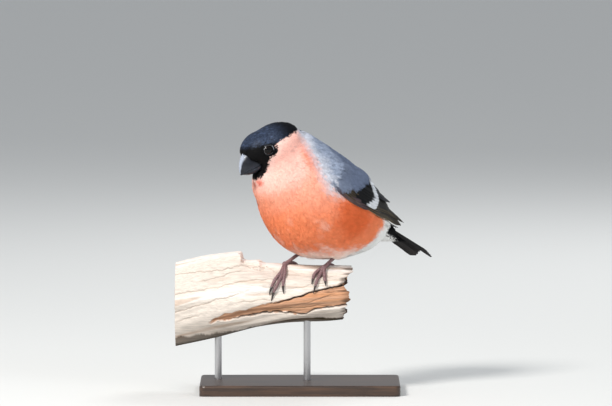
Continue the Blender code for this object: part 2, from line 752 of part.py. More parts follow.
def make_branch(collection):
    """The cut length of branch, its long crack and its broken end."""
    draw = random.Random(11)
    waves = [(draw.uniform(0.02, 0.1), draw.randint(2, 9), draw.uniform(0, 6.3)) for _ in range(6)]
    start, end, steps = -70.0, 25.6, 18
    offsets = [-4.0, 0.0, 4.0] + [4.0 + 352.0 * k / 21 for k in range(1, 21)]
    rings = []
    for step in range(steps + 1):
        x = start + (end - start) * step / steps
        middle = crack_angle(x)
        fade = min(max((x - CRACK[0][0] + 6) / 16, 0.0), 1.0)
        ring = []
        for offset in offsets:
            angle = middle + offset
            turn = math.radians(angle)
            ridge = sum(math.sin(f * x + n * turn + s) for f, n, s in waves) * 0.28
            depth = -(2.2 * fade) if offset == 0.0 else ridge
            last = max(0.0, (x - 16.0) / (end - 16.0))
            point = branch_point(x, angle, depth)
            point.x += (smooth_between(BROKEN_EDGE, angle % 360)[0] - end) * last**2 * MM
            ring.append(point)
        rings.append(ring)
    y, z = branch_at(end)[:2]
    centre = Vector((end - 2.5, y, z)) * MM
    inner = []
    for k, point in enumerate(rings[-1]):
        share = 0.55
        spot = centre.lerp(point, share)
        spot.x = (end - 3.0 + 1.6 * math.sin(3.1 * k)) * MM
        inner.append(spot)
    rings.append(inner)
    bm = bmesh.new()
    add_loft(bm, rings)
    outward(bm)
    return link_mesh("perch", bm, collection)


# Legs

def toe_route(side, index):
    """The points of a toe, from the joint of the toes along the branch."""
    foot = Vector(LEG_TUBES[side][-1]) * MM
    points = [foot]
    radii = [radius * MM for radius in TOE_RADII]
    if index < 3:
        for (x, height), radius in zip(TOES[side][index], TOE_RADII):
            y, z, half_height, _ = branch_at(x)
            reach = max(-1.0, min(1.0, (height - z) / (half_height + radius)))
            angle = 180.0 - math.degrees(math.asin(reach))
            points.append(branch_point(x, angle, 0.55 * radius))
    else:
        for (x, angle), radius in zip(HIND_TOES[side], TOE_RADII):
            points.append(branch_point(x, angle, 0.55 * radius))
    return points, [radii[0]] + radii


def make_leg(side, collection, grow=0.0):
    """Shank and toes of one leg; with grow, the space that they take from their neighbours."""
    route = [Vector(point) * MM for point in LEG_TUBES[side]]
    widths = [LEG_RADIUS + grow] * (len(route) - 1) + [1.3 * LEG_RADIUS + grow]
    leg = tube("leg_" + side, route, widths, collection, smooth=True)
    toes = []
    for index in range(4):
        points, radii = toe_route(side, index)
        radii = [radius + grow for radius in radii]
        toes.append(tube("toe", points, radii, collection, smooth=True))
    knuckle = ball("knuckle", Matrix.Identity(4), route[-1], 1.5 * LEG_RADIUS + grow, collection, 10, 8)
    return combine(leg, toes + [knuckle], "UNION")


# Stand

def make_base(collection):
    bm = bmesh.new()
    centre = Matrix.Translation((0, 0, BASE_SIZE.z / 2))
    bmesh.ops.create_cube(bm, size=1.0, matrix=centre @ Matrix.Diagonal((*BASE_SIZE, 1.0)))
    upright = [e for e in bm.edges if abs(e.verts[0].co.z - e.verts[1].co.z) > BASE_SIZE.z / 2]
    bmesh.ops.bevel(bm, geom=upright, offset=BASE_CORNER, segments=4, profile=0.5, affect="EDGES")
    rim = [e for e in bm.edges if all(v.co.z > BASE_SIZE.z - 1e-6 for v in e.verts)]
    bmesh.ops.bevel(bm, geom=rim, offset=1.0 * MM, segments=2, profile=0.5, affect="EDGES")
    return link_mesh("stand_base", bm, collection)


def rod(name, x, radius, low, high, collection):
    y = branch_at(x)[0] * MM
    bm = bmesh.new()
    place = Matrix.Translation((x * MM, y, (low + high) / 2))
    bmesh.ops.create_cone(
        bm, cap_ends=True, segments=20, radius1=radius, radius2=radius, depth=high - low, matrix=place
    )
    return link_mesh(name, bm, collection)


def make_stand(base, branch, parts):
    """Two rods, each let into the base and into the branch's underside."""
    rods = []
    for name, x in ROD_PLACES:
        foot = BASE_SIZE.z - ROD_SOCKET
        top = branch_point(x, 270.0).z + ROD_GRIP
        combine(base, [rod("cut", x, ROD_RADIUS + GAP, foot - GAP, BASE_SIZE.z + 4 * MM, parts)])
        combine(branch, [rod("cut", x, ROD_RADIUS + GAP, foot, top + GAP, parts)])
        rods.append(rod(name, x, ROD_RADIUS, foot, top, parts))
    return rods


def dress(obj, material_name, smooth=True):
    obj.data.materials.clear()
    obj.data.materials.append(material(material_name))
    if smooth:
        obj.data.shade_smooth()
        obj.data.set_sharp_from_angle(angle=math.radians(38))


def main():
    clear_scene()
    parts = new_collection("bullfinch on a branch")
    form = body_form(parts)
    head, neck, torso, tail = part_body(form, parts)
    upper, lower, eyes = make_head_parts(head, parts)

    make_tail(tail, parts)
    wing = make_wing(parts)
    recess = wing_recess("recess", parts)
    for piece in (torso, tail, neck):
        left_cut = copy_of(recess, "cut", parts)
        left_cut.data.transform(BODY)
        combine(piece, [left_cut, mirrored(recess, "cut", BODY, parts)], solver="MANIFOLD")
    bpy.data.objects.remove(recess, do_unlink=True)
    wing_right = mirrored(wing, "wing_right", BODY, parts)
    wing.data.transform(BODY)
    wing.name = "wing_left"

    branch = make_branch(parts)
    legs = []
    for side in ("left", "right"):
        legs.append(make_leg(side, parts))
        combine(torso, [make_leg(side, parts, grow=GAP)])
        combine(branch, [make_leg(side, parts, grow=GAP)])
    base = make_base(parts)
    rods = make_stand(base, branch, parts)

    dress(head, "cap_black")
    dress(upper, "bill_grey")
    dress(lower, "bill_grey")
    for eye in eyes:
        dress(eye, "eye_dark")
    dress(neck, "mantle_grey")
    dress(torso, "breast_red")
    dress(wing, "wing_black")
    dress(wing_right, "wing_black")
    dress(tail, "wing_black")
    for leg in legs:
        dress(leg, "leg_brown")
    dress(branch, "bleached_wood")
    dress(base, "base_dark")
    for piece in rods:
        dress(piece, "rod_steel")


main()
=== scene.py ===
"""How the bullfinch on its cut branch looks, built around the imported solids.

Lengths are in metres in the world. Tables and charts are in millimetres, in the body's frame
(forward, left, up from the body's centre) or the head's.
"""

import json
import math
import random

import bmesh
import bpy
import numpy as np
from mathutils import Matrix, Vector
from mathutils.bvhtree import BVHTree
from mathutils.kdtree import KDTree

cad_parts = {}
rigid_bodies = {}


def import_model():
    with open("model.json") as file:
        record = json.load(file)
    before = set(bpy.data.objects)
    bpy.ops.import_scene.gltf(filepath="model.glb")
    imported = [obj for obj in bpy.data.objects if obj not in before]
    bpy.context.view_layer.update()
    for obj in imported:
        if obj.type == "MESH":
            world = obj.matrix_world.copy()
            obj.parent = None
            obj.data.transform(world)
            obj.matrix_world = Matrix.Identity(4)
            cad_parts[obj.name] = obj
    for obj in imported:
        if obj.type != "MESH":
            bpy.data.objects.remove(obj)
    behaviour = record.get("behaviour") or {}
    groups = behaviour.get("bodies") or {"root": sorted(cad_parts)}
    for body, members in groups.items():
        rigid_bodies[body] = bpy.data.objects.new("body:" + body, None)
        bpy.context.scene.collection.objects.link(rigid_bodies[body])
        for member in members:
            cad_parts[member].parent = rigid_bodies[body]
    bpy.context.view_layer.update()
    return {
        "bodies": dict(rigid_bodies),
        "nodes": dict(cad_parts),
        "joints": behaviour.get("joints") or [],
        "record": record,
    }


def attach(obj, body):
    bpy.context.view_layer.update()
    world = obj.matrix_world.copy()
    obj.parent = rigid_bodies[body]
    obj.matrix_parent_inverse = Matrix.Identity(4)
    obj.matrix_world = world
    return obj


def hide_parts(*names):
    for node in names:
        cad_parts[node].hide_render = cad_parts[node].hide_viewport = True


MM = 0.001

# The bird's place and pose, as in the solids
BODY_CENTRE = Vector((7.8, 0.0, 105.8)) * MM
BODY_YAW = 40.0
HEAD_CENTRE = Vector((29.6, 0.0, 31.8)) * MM
HEAD_YAW = 27.0
HEAD_PITCH = 24.5
# Cross-sections of the body: forward, up, lean in degrees, half width, height above and below
SECTIONS = (
    (22.9, 30.0, 60.0, 15.5, 18.5, 18.5),
    (17.8, 21.2, 50.0, 21.0, 23.5, 24.0),
    (10.4, 11.0, 42.0, 26.0, 27.5, 29.4),
    (0.6, 2.5, 34.0, 28.3, 29.5, 32.2),
    (-10.6, -3.1, 28.0, 28.0, 28.0, 31.2),
    (-21.0, -6.7, 24.0, 25.5, 24.0, 28.0),
    (-29.5, -9.2, 23.0, 21.5, 19.5, 24.8),
    (-37.5, -10.6, 23.0, 17.5, 15.5, 21.0),
    (-44.5, -12.6, 25.0, 14.0, 12.5, 17.0),
    (-51.5, -14.6, 27.0, 11.0, 9.5, 12.5),
    (-59.0, -17.6, 28.0, 9.0, 7.5, 7.5),
    (-68.0, -22.0, 28.0, 8.0, 5.5, 4.5),
    (-80.0, -28.0, 28.0, 7.5, 5.0, 4.0),
)
EYE_CENTRE = (7.4, 8.9, 3.4)
EYE_RADIUS = 3.1
LID_OUT = 10.75
LID_LEAN = 0.25
# The bill: forward, its ridge, the cutting edge, half width and the lower half's underside
BILL = (
    (11.0, 6.8, -3.0, 5.4, -6.6),
    (13.6, 6.8, -3.5, 5.3, -7.0),
    (16.2, 6.3, -3.7, 5.0, -7.2),
    (18.6, 5.2, -3.6, 4.5, -7.0),
    (20.8, 3.2, -3.6, 3.7, -6.4),
    (22.6, 0.6, -4.0, 2.6, -5.4),
    (23.8, -2.0, -4.6, 1.4, None),
    (24.3, -3.9, -5.1, 0.5, None),
)
WRIST_ALONG = 17.0
LEADING_ANGLE = 3.0
NEAR_BACK = 60.0
NEAREST_BACK = 86.0
TAIL_ROOT = (-44.0, 0.0, -8.2)
TAIL_PITCH = 27.5
TAIL_LENGTH = 45.0
# The branch: x, y and z of its middle, half height and half depth
BRANCH = (
    (-70.0, 12.0, 47.0, 22.2, 21.5),
    (-51.0, 9.6, 51.4, 22.4, 21.5),
    (-34.0, 7.2, 54.4, 21.6, 20.6),
    (-24.0, 5.8, 54.8, 19.6, 19.2),
    (-8.0, 3.6, 55.0, 16.8, 16.8),
    (6.0, 1.6, 55.0, 15.2, 15.4),
    (20.0, -0.4, 55.6, 14.8, 14.6),
    (29.0, -1.7, 56.0, 14.4, 14.2),
)
# Where the broken end's edge lies, by the angle round the branch; the cracks are by x
BROKEN_EDGE = (
    (-20.0, 25.0), (20.0, 24.0), (60.0, 27.0), (112.0, 28.9), (138.0, 26.8), (155.0, 23.4),
    (172.0, 26.8), (190.0, 27.7), (219.0, 24.8), (250.0, 24.0), (300.0, 24.6), (340.0, 25.0),
    (380.0, 24.0),
)
CRACK = ((-30.0, 199.0), (-16.0, 196.0), (-1.5, 184.0), (7.5, 172.0), (24.6, 158.0))
# The bared heartwood between its upper and lower edges, the shaded underside, and long thin lines
HEART_TOP = (
    (-52.0, 213.0), (-44.0, 204.0), (-31.0, 201.5), (-20.5, 195.0), (-1.5, 184.0), (7.5, 172.0),
    (25.0, 157.5),
)
HEART_BASE = (
    (-52.0, 213.0), (-40.0, 214.2), (-29.0, 214.0), (-16.8, 212.7), (-5.0, 219.0), (1.9, 224.3),
    (6.0, 218.0), (9.3, 212.9), (20.5, 207.8), (25.0, 206.0),
)
UNDERSIDE = ((-72.0, 230.0), (-28.0, 241.5), (0.0, 247.5), (25.0, 250.0))
LONG_LINES = (
    ((-75.0, 158.0), (-44.8, 161.3), (-16.8, 151.0), (-8.0, 149.0)),
    ((-75.0, 125.0), (-44.8, 135.7), (-20.5, 123.3), (-14.0, 121.0)),
    ((-60.0, 148.0), (-48.0, 147.0), (-33.0, 139.0), (-28.0, 137.0)),
    ((-75.0, 186.0), (-60.0, 184.0), (-38.0, 178.0), (-30.0, 177.0)),
    ((-12.0, 170.0), (-2.0, 165.0), (8.0, 155.0), (18.0, 150.0)),
    ((-8.0, 203.0), (3.0, 198.0), (14.0, 184.0), (24.0, 174.0)),
    ((-24.0, 206.0), (-10.0, 207.0), (4.0, 208.0), (16.0, 197.0)),
    ((6.0, 192.0), (12.0, 186.0), (18.0, 183.0), (25.0, 181.0)),
)
# How far the branch's top lies off the smooth one, along it: two layers broken off in steps
STEPS = (
    (-80.0, 0.0), (-40.0, 0.0), (-33.4, 0.45), (-32.5, -2.6), (-28.0, -1.9), (-23.2, -0.5),
    (-21.8, -1.3), (-19.2, -1.7), (-14.0, -1.0), (-5.0, -0.4), (6.0, 0.0), (40.0, 0.0),
)
LEG_TUBES = {
    "left": ((19.0, -3.0, 86.5), (24.6, 2.4, 79.8), (19.4, -2.0, 75.4), (13.2, -6.9, 70.0)),
    "right": ((-2.5, 1.5, 86.5), (3.0, 7.0, 79.6), (-2.6, 2.4, 75.6), (-8.4, -2.3, 71.6)),
}
TOES = {
    "left": (
        ((10.6, 69.0), (8.2, 66.9), (7.2, 64.2), (6.6, 61.2)),
        ((11.7, 67.6), (9.6, 63.6), (8.6, 60.4), (7.5, 56.0)),
        ((13.6, 67.2), (13.9, 64.6), (14.2, 62.6), (14.4, 60.2)),
    ),
    "right": (
        ((-10.8, 67.6), (-13.6, 64.4), (-16.0, 59.4), (-17.2, 55.2)),
        ((-10.2, 66.4), (-12.8, 60.8), (-14.8, 56.4), (-16.2, 50.4)),
        ((-8.4, 67.8), (-9.1, 63.8), (-9.5, 60.0), (-9.1, 55.8)),
    ),
}
HIND_TOES = {
    "left": ((14.6, 104.0), (17.4, 84.0), (19.6, 62.0), (20.8, 44.0)),
    "right": ((-6.4, 98.0), (-3.4, 80.0), (-1.0, 62.0), (0.4, 46.0)),
}
TOE_RADII = (1.2, 1.1, 0.85, 0.2)
SHANK_RADII = ((0, 1.5), (0.3, 1.15), (0.36, 1.4), (0.42, 1.0), (0.9, 0.95), (1, 1.35))

# Where the markings change, drawn from the side: on the head forward and up, front last
CAP_LINE = (
    (-40.0, 5.4), (-16.0, 5.0), (-5.7, 4.9), (-1.0, 5.0), (2.0, 4.5), (4.3, 2.8), (6.1, 1.0),
    (8.1, -0.7), (9.5, -2.8), (10.6, -5.8), (12.3, -8.1), (14.6, -9.6), (16.6, -10.3), (24.0, -10.8),
)
# and on the body forward and up, tail last
GREY_LINE = (
    (21.5, 60.0), (19.6, 42.0), (18.5, 36.6), (16.9, 30.1), (14.7, 23.0), (12.8, 16.4),
    (10.8, 11.5), (5.6, 7.2), (-3.0, 4.6), (-17.0, 1.0), (-29.0, -3.0), (-41.7, -5.0), (-80.0, -18.0),
)
VENT_LINE = (
    (-38.5, 0.0), (-36.3, -9.7), (-31.5, -14.4), (-28.2, -19.9), (-18.5, -25.5), (-8.3, -29.0),
    (2.0, -32.0), (12.0, -38.0),
)
# How far back the grey feathers reach over the folded wing, by the place across it
GREY_REACH = (
    (-2.0, 16.0), (2.0, 17.5), (3.2, 21.0), (5.5, 22.5), (8.6, 25.0), (14.2, 31.5),
    (20.0, 36.0), (30.0, 39.0),
)


def linear(red, green, blue):
    """A colour as a screen shows it, from 0 to 255, turned into the shaders' linear values."""
    return np.array([((value / 255 + 0.055) / 1.055) ** 2.4 for value in (red, green, blue)])


CAP_BLACK = linear(10, 12, 19)
# CAP_SHEEN is the painted blue sheen on the cap
CAP_SHEEN = linear(88, 106, 140)
FACE_BLACK = linear(5, 5, 7)
CHEEK_PINK = linear(251, 196, 183)
CHEEK_RIM = linear(252, 213, 202)
CHEEK_ORANGE = linear(242, 140, 104)
BREAST_PALE = linear(247, 172, 146)
BREAST_DEEP = linear(238, 134, 90)
FLANK_DEEP = linear(224, 104, 56)
BELLY_PALE = linear(243, 222, 212)
VENT_WHITE = linear(238, 238, 236)
THROAT_RED = linear(232, 92, 62)
NAPE_GREY = linear(202, 206, 217)
MANTLE_GREY = linear(154, 166, 188)
SCAPULAR_GREY = linear(108, 120, 145)
WING_BLACK = linear(11, 11, 14)
WING_OLIVE = linear(30, 27, 20)
WING_BUFF = linear(196, 172, 132)
BAR_WHITE = linear(222, 226, 232)
THUMB_BROWN = linear(74, 58, 66)


def facing(centre, yaw, pitch=0.0):
    """The frame at centre that looks along -X, turned by yaw towards -Y and tipped down by pitch."""
    turn = Matrix.Rotation(math.radians(180 + yaw), 4, "Z")
    tip = Matrix.Rotation(math.radians(pitch), 4, "Y")
    return Matrix.Translation(centre) @ turn @ tip


BODY = facing(BODY_CENTRE, BODY_YAW)
HEAD = facing(BODY @ HEAD_CENTRE, HEAD_YAW, HEAD_PITCH)


# Charts

def smooth_between(stations, places):
    """The stations' values at places, by a smooth curve; a station starts with its own place."""
    table = np.array(stations, float)
    places = np.atleast_1d(np.asarray(places, float))
    ahead = table[-1, 0] > table[0, 0]
    knots = table[:, 0] if ahead else -table[:, 0]
    reach = places if ahead else -places
    index = np.clip(np.searchsorted(knots, reach, side="left") - 1, 0, len(table) - 2)
    low, high = table[index], table[index + 1]
    before = table[np.maximum(index - 1, 0)]
    after = table[np.minimum(index + 2, len(table) - 1)]
    span = (high[:, 0] - low[:, 0])[:, None]
    share = ((places - low[:, 0]) / span[:, 0])[:, None]
    rise_low = (high - before)[:, 1:] / (high - before)[:, :1] * span
    rise_high = (after - low)[:, 1:] / (after - low)[:, :1] * span
    return (
        (2 * share**3 - 3 * share**2 + 1) * low[:, 1:]
        + (share**3 - 2 * share**2 + share) * rise_low
        + (-2 * share**3 + 3 * share**2) * high[:, 1:]
        + (share**3 - share**2) * rise_high
    )


def sections_by_length():
    """The body's sections with the length of its middle line up to each put first."""
    along = 0.0
    placed = []
    for index, section in enumerate(SECTIONS):
        if index:
            before = SECTIONS[index - 1]
            along += math.hypot(section[0] - before[0], section[1] - before[1])
        placed.append((along, *section))
    return placed


GUIDE = sections_by_length()


def side_points(along, angle, lift):
    """Points of the body's surface in the body frame, raised by lift, all in millimetres."""
    forward, up, pitch, half_width, above, below = smooth_between(GUIDE, along).T
    turn = np.radians(angle)
    depth = np.where(np.asarray(angle) > 0, above, below)
    out_x, out_z = np.cos(turn) / half_width, np.sin(turn) / depth
    length = np.hypot(out_x, out_z)
    across = half_width * np.cos(turn) + out_x / length * lift
    height = depth * np.sin(turn) + out_z / length * lift
    lean = np.radians(pitch)
    return np.stack([forward - height * np.sin(lean), across, up + height * np.cos(lean)], axis=1)


def wing_points(along, across, lift):
    """Points of the left wing's chart: back from the wrist and up from the leading edge."""
    along = np.asarray(along, float)
    sizes = smooth_between(GUIDE, WRIST_ALONG + along)
    angle = LEADING_ANGLE + np.degrees(2 * np.asarray(across) / (sizes[:, 3] + sizes[:, 4]))
    room = NEAREST_BACK - NEAR_BACK
    drawn_in = NEAR_BACK + room * (1 - np.exp(np.minimum(NEAR_BACK - angle, 0) / room))
    return side_points(WRIST_ALONG + along, np.where(angle > NEAR_BACK, drawn_in, angle), lift)


def tail_points(along, across, lift):
    """Points of the tail's chart: back from its root, to the left and up from its arched plane."""
    pitch = math.radians(TAIL_PITCH)
    along = np.asarray(along, float)
    arch = lift - 0.035 * np.asarray(across) ** 2 * np.minimum(along / 20.0, 1.0)
    forward = TAIL_ROOT[0] - math.cos(pitch) * along - math.sin(pitch) * arch
    up = TAIL_ROOT[2] - math.sin(pitch) * along + math.cos(pitch) * arch
    return np.stack([forward, across + 0 * along, up], axis=1)


def wing_top(along):
    """How far up the folded wing reaches in its chart."""
    return np.where(np.less(along, 50), 24.0 - 0.11 * along, 18.5 - 0.32 * (along - 50))


def into_world(frame, points):
    matrix = np.array(frame)
    return np.asarray(points) * MM @ matrix[:3, :3].T + matrix[:3, 3]


def out_of_world(frame, points):
    """World points in a frame of the bird, in millimetres."""
    matrix = np.array(frame.inverted())
    return (np.asarray(points) @ matrix[:3, :3].T + matrix[:3, 3]) / MM


def branch_points(x, angle, lift=0.0):
    """Points of the branch without its fine ridges; 0 degrees is the far side and 90 the top."""
    y, z, half_height, half_depth = smooth_between(BRANCH, x).T
    turn = np.radians(angle)
    step = 1.9 / (1 + np.exp((x + 31.5) * 1.6)) * np.maximum(0.0, np.cos(turn - math.pi / 2)) ** 3
    across = (half_depth + lift) * np.cos(turn)
    height = (half_height + step + lift) * np.sin(turn)
    return np.stack([x + 0 * across, y + across, z + height], axis=1)


def branch_middle(x):
    y, z = smooth_between(BRANCH, x)[0][:2]
    return np.array([x, y, z])


# Shares, mixes and markings

def ease(value, low, high):
    """0 before low and 1 past high, with a soft change between."""
    share = np.clip((value - low) / (high - low), 0.0, 1.0)
    return share * share * (3 - 2 * share)


def mixed(first, second, share):
    return first + (second - first) * np.reshape(share, (-1, 1))


def cloud(points, size, seed):
    """A soft random pattern between -1 and 1 whose lumps are about so many millimetres wide."""
    draw = np.random.default_rng(seed)
    total = np.zeros(len(points))
    for _ in range(16):
        way = draw.normal(size=points.shape[1])
        way /= np.linalg.norm(way)
        total += np.sin(points @ way * 2 * math.pi / (size * draw.uniform(1.2, 3.6)) + draw.uniform(0, 6.28))
    return total / 5.0


def from_table(places, table, column=1):
    """One column of a table at places, on straight lines between its rows."""
    return np.interp(places, [row[0] for row in table], [row[column] for row in table])


def unit(vectors):
    return vectors / np.linalg.norm(vectors, axis=1)[:, None]


def along_skin(vectors, ways):
    """The vectors laid flat on a skin with the normals ways, at a length of 1."""
    return unit(vectors - (vectors * ways).sum(1)[:, None] * ways)


def from_eye(head):
    """How far points of the head's frame lie from the middle of the eye, seen from the side."""
    return np.hypot(head[:, 0] - EYE_CENTRE[0], head[:, 2] - EYE_CENTRE[2])


def tail_places(body):
    """How far points of the body frame lie behind the tail's root and above its plane."""
    pitch = math.radians(TAIL_PITCH)
    gap = body - TAIL_ROOT
    back = -gap[:, 0] * math.cos(pitch) - gap[:, 2] * math.sin(pitch)
    above = -gap[:, 0] * math.sin(pitch) + gap[:, 2] * math.cos(pitch)
    return back, above + 0.035 * gap[:, 1] ** 2


def side_of(points, line):
    """How far points lie to the left of a line made of straight stretches."""
    nearest = np.full(len(points), 1e9)
    signed = np.zeros(len(points))
    for start, end in zip(line, line[1:]):
        start, way = np.array(start), np.array(end) - np.array(start)
        share = np.clip((points - start) @ way / (way @ way), 0.0, 1.0)
        gap = points - start - share[:, None] * way
        distance = np.hypot(gap[:, 0], gap[:, 1])
        left = np.sign(way[0] * gap[:, 1] - way[1] * gap[:, 0])
        closer = distance < nearest
        signed[closer] = (left * distance)[closer]
        nearest[closer] = distance[closer]
    return signed


FLANK_CENTRE = (-6.0, 26.0, -6.0)
FACE_CENTRE = (0.0, 0.0, -6.0)
NECK_SIDE = (-12.0, 15.0, -9.0)
THROAT_GROOVE = (17.2, 3.4, -12.8)
BILL_ROOT = (17.0, 0.0, -1.0)


def away(points, centre, squash=(1.0, 1.0, 1.0)):
    """How far points of a frame lie from a centre that is there on both sides of the bird."""
    mirrored = np.stack([points[:, 0], np.abs(points[:, 1]), points[:, 2]], axis=1)
    return np.linalg.norm((mirrored - centre) * squash, axis=1)


def breast_colour(body, streaks, patches):
    """Salmon that deepens downwards and on the flanks, with paler ruffled places on the belly."""
    low = ease(-body[:, 2] + 2.0 * patches, -14.0, 10.0)
    colour = mixed(BREAST_PALE, BREAST_DEEP, low)
    flank = away(body, FLANK_CENTRE)
    colour = mixed(colour, FLANK_DEEP, 0.9 * ease(-flank + 2 * patches, -18.0, -6.0))
    ruffled = ease(cloud(body * (1.0, 1.0, 0.6), 3.0, 6), 0.35, 1.0) * ease(-body[:, 2], 2.0, 10.0)
    colour = mixed(colour, BELLY_PALE, 0.26 * ruffled * ease(flank, 10.0, 18.0))
    return mixed(colour, BELLY_PALE, ease(-body[:, 2] + 1.5 * streaks, 21.0, 28.0) * 0.9)


def with_cheeks(colour, head, cap):
    """Adds the pink cheeks, orange behind and palest along the cap, and the red beside the chin."""
    face = ease(-away(head, FACE_CENTRE), -25.0, -17.0)
    colour = mixed(colour, CHEEK_PINK, face * 0.9)
    behind = away(head, NECK_SIDE, (1.0, 1.0, 0.5))
    colour = mixed(colour, CHEEK_ORANGE, 0.85 * ease(-behind, -7.0, -2.5))
    rim = np.exp(-((np.minimum(cap, 0.0) / 3.0) ** 2)) * ease(head[:, 0], -12.0, 0.0)
    colour = mixed(colour, CHEEK_RIM, rim * 0.85)
    return mixed(colour, THROAT_RED, 0.75 * ease(-away(head, THROAT_GROOVE), -3.2, -0.8))


def with_back(colour, body, grey, streaks, patches):
    """Adds the grey back, darker downwards, its pale fringe before the wing and the white rump."""
    fringe = np.exp(-(((grey + 1.0) / 2.6) ** 2)) * ease(body[:, 0], 5.0, 11.0)
    colour = mixed(colour, NAPE_GREY, 0.6 * fringe)
    tone = mixed(NAPE_GREY, MANTLE_GREY, ease(grey + 1.5 * patches, 1.0, 9.0))
    tone = mixed(tone, SCAPULAR_GREY, ease(grey - body[:, 0] * 0.25 + 2.0 * patches, 9.0, 21.0))
    tone *= (1.0 + 0.10 * streaks)[:, None]
    tone = mixed(tone, VENT_WHITE, ease(-body[:, 0] + streaks, 33.0, 37.0))
    return mixed(colour, tone, ease(grey + 0.8 * streaks, -1.6, 1.6))


def plumage(points):
    """Colour of the bird's small feathers at world points, with their gloss as a fourth value."""
    head, body = out_of_world(HEAD, points), out_of_world(BODY, points)
    cap = side_of(head[:, [0, 2]], CAP_LINE)
    grey = -side_of(body[:, [0, 2]], GREY_LINE)
    vent = -side_of(body[:, [0, 2]], VENT_LINE)
    streaks = cloud(body * (0.35, 1.0, 1.0), 1.6, 3)
    patches = cloud(body, 6.0, 4)
    colour = with_cheeks(breast_colour(body, streaks, patches), head, cap)
    colour = mixed(colour, VENT_WHITE, ease(vent + 1.2 * streaks, -1.5, 2.5))
    colour = with_back(colour, body, grey, streaks, patches)
    # black feathers over the root of the tail
    tail_back, tail_up = tail_places(body)
    over = ease(tail_back + streaks, 0.0, 2.0) * ease(-tail_up, -7.0, -4.0)
    over *= ease(tail_up + 0.8 * streaks + 0.2 * np.minimum(tail_back, 10.0), -5.2, -4.2)
    colour = mixed(colour, WING_BLACK, over)
    gloss = 0.15 + over * 0.3
    # the cap, with a painted blue sheen where it shines, and the dull black from the bill past the eye
    shine = ease(head[:, 2] - 0.22 * head[:, 0] + streaks, 2.6, 6.0) * ease(head[:, 0], -9.0, 4.0)
    black = mixed(CAP_BLACK, CAP_SHEEN, 0.30 * shine)
    band = ease(-head[:, 2] + 0.15 * head[:, 0], -6.5, -4.5) * ease(head[:, 0], 2.0, 6.0)
    black = mixed(black, FACE_BLACK, band)
    round_eye = ease(-from_eye(head), -4.5, -4.3) * (np.abs(head[:, 1]) > 4.0)
    inside = np.maximum(ease(cap + 0.2 * streaks, -0.2, 0.2), round_eye)
    colour = mixed(colour, black, inside)
    gloss = gloss * (1 - inside) + inside * (0.35 + 0.4 * shine)
    return np.column_stack([np.clip(colour, 0.0, 1.0), np.clip(gloss, 0.0, 1.0)])


def feather_length(points):
    """How long the small feathers are at world points, in millimetres."""
    head, body = out_of_world(HEAD, points), out_of_world(BODY, points)
    from_bill = away(head, BILL_ROOT)
    length = 1.7 + 1.3 * ease(from_bill, 6.0, 16.0) + 2.0 * ease(from_bill, 16.0, 30.0)
    length += 2.4 * ease(from_bill, 30.0, 50.0)
    vent = -side_of(body[:, [0, 2]], VENT_LINE)
    length += 2.0 * ease(vent, -2.0, 4.0)
    cap = np.abs(side_of(head[:, [0, 2]], CAP_LINE)) + np.where(from_bill < 34.0, 0.0, 20.0)
    length *= 0.58 + 0.42 * ease(cap, 1.0, 7.0)
    rump = ease(-body[:, 0], 26.0, 34.0) * ease(body[:, 2] + 0.45 * (body[:, 0] + 30.0), -12.0, -4.0)
    length *= 1 - 0.55 * rump
    return np.minimum(length, 4.2 + 0.5 * np.maximum(1.0 - tail_places(body)[0], 0.0))


def coat_depth(points):
    return np.clip(0.17 * feather_length(points), 0.34, 1.4)


# Meshes

def show(name, mesh, material, replaces=()):
    obj = bpy.data.objects.new(name, mesh)
    bpy.context.scene.collection.objects.link(obj)
    obj.data.materials.clear()
    obj.data.materials.append(material)
    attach(obj, "root")
    if replaces:
        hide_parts(*replaces)
    return obj


def mesh_of(bm, name, sharp=40.0):
    mesh = bpy.data.meshes.new(name)
    bm.to_mesh(mesh)
    bm.free()
    mesh.shade_smooth()
    mesh.set_sharp_from_angle(angle=math.radians(sharp))
    return mesh


def places_of(mesh):
    flat = np.empty(len(mesh.vertices) * 3, np.float32)
    mesh.vertices.foreach_get("co", flat)
    return flat.reshape(-1, 3).astype(float)


def normals_of(mesh):
    flat = np.empty(len(mesh.vertices) * 3, np.float32)
    mesh.vertex_normals.foreach_get("vector", flat)
    return flat.reshape(-1, 3).astype(float)


def paint(mesh, name, colours):
    """Gives each vertex a colour with a fourth value."""
    layer = mesh.color_attributes.new(name, "FLOAT_COLOR", "POINT")
    layer.data.foreach_set("color", colours.astype(np.float32).ravel())


def mark(mesh, name, values):
    """Gives each vertex one value."""
    layer = mesh.attributes.new(name, "FLOAT", "POINT")
    layer.data.foreach_set("value", values.astype(np.float32))


def nearest(places, spots):
    """Which of the places lies nearest to each of the spots."""
    tree = KDTree(len(places))
    for index, place in enumerate(places):
        tree.insert(place, index)
    tree.balance()
    return np.array([tree.find(spot)[1] for spot in spots])


def array_mesh(name, points, quads, tris, colours, maps):
    """A mesh from arrays of points and faces, with colours and maps given for each point."""
    mesh = bpy.data.meshes.new(name)
    loops = np.concatenate([quads.ravel(), tris.ravel()])
    sizes = np.concatenate([np.full(len(quads), 4), np.full(len(tris), 3)])
    mesh.vertices.add(len(points))
    mesh.vertices.foreach_set("co", points.astype(np.float32).ravel())
    mesh.loops.add(len(loops))
    mesh.loops.foreach_set("vertex_index", loops.astype(np.int32))
    mesh.polygons.add(len(sizes))
    mesh.polygons.foreach_set("loop_start", (np.cumsum(sizes) - sizes).astype(np.int32))
    mesh.update(calc_edges=True)
    paint(mesh, "plumage", colours)
    for map_name, places in maps.items():
        layer = mesh.uv_layers.new(name=map_name)
        layer.data.foreach_set("uv", places[loops].astype(np.float32).ravel())
    mesh.shade_smooth()
    return mesh


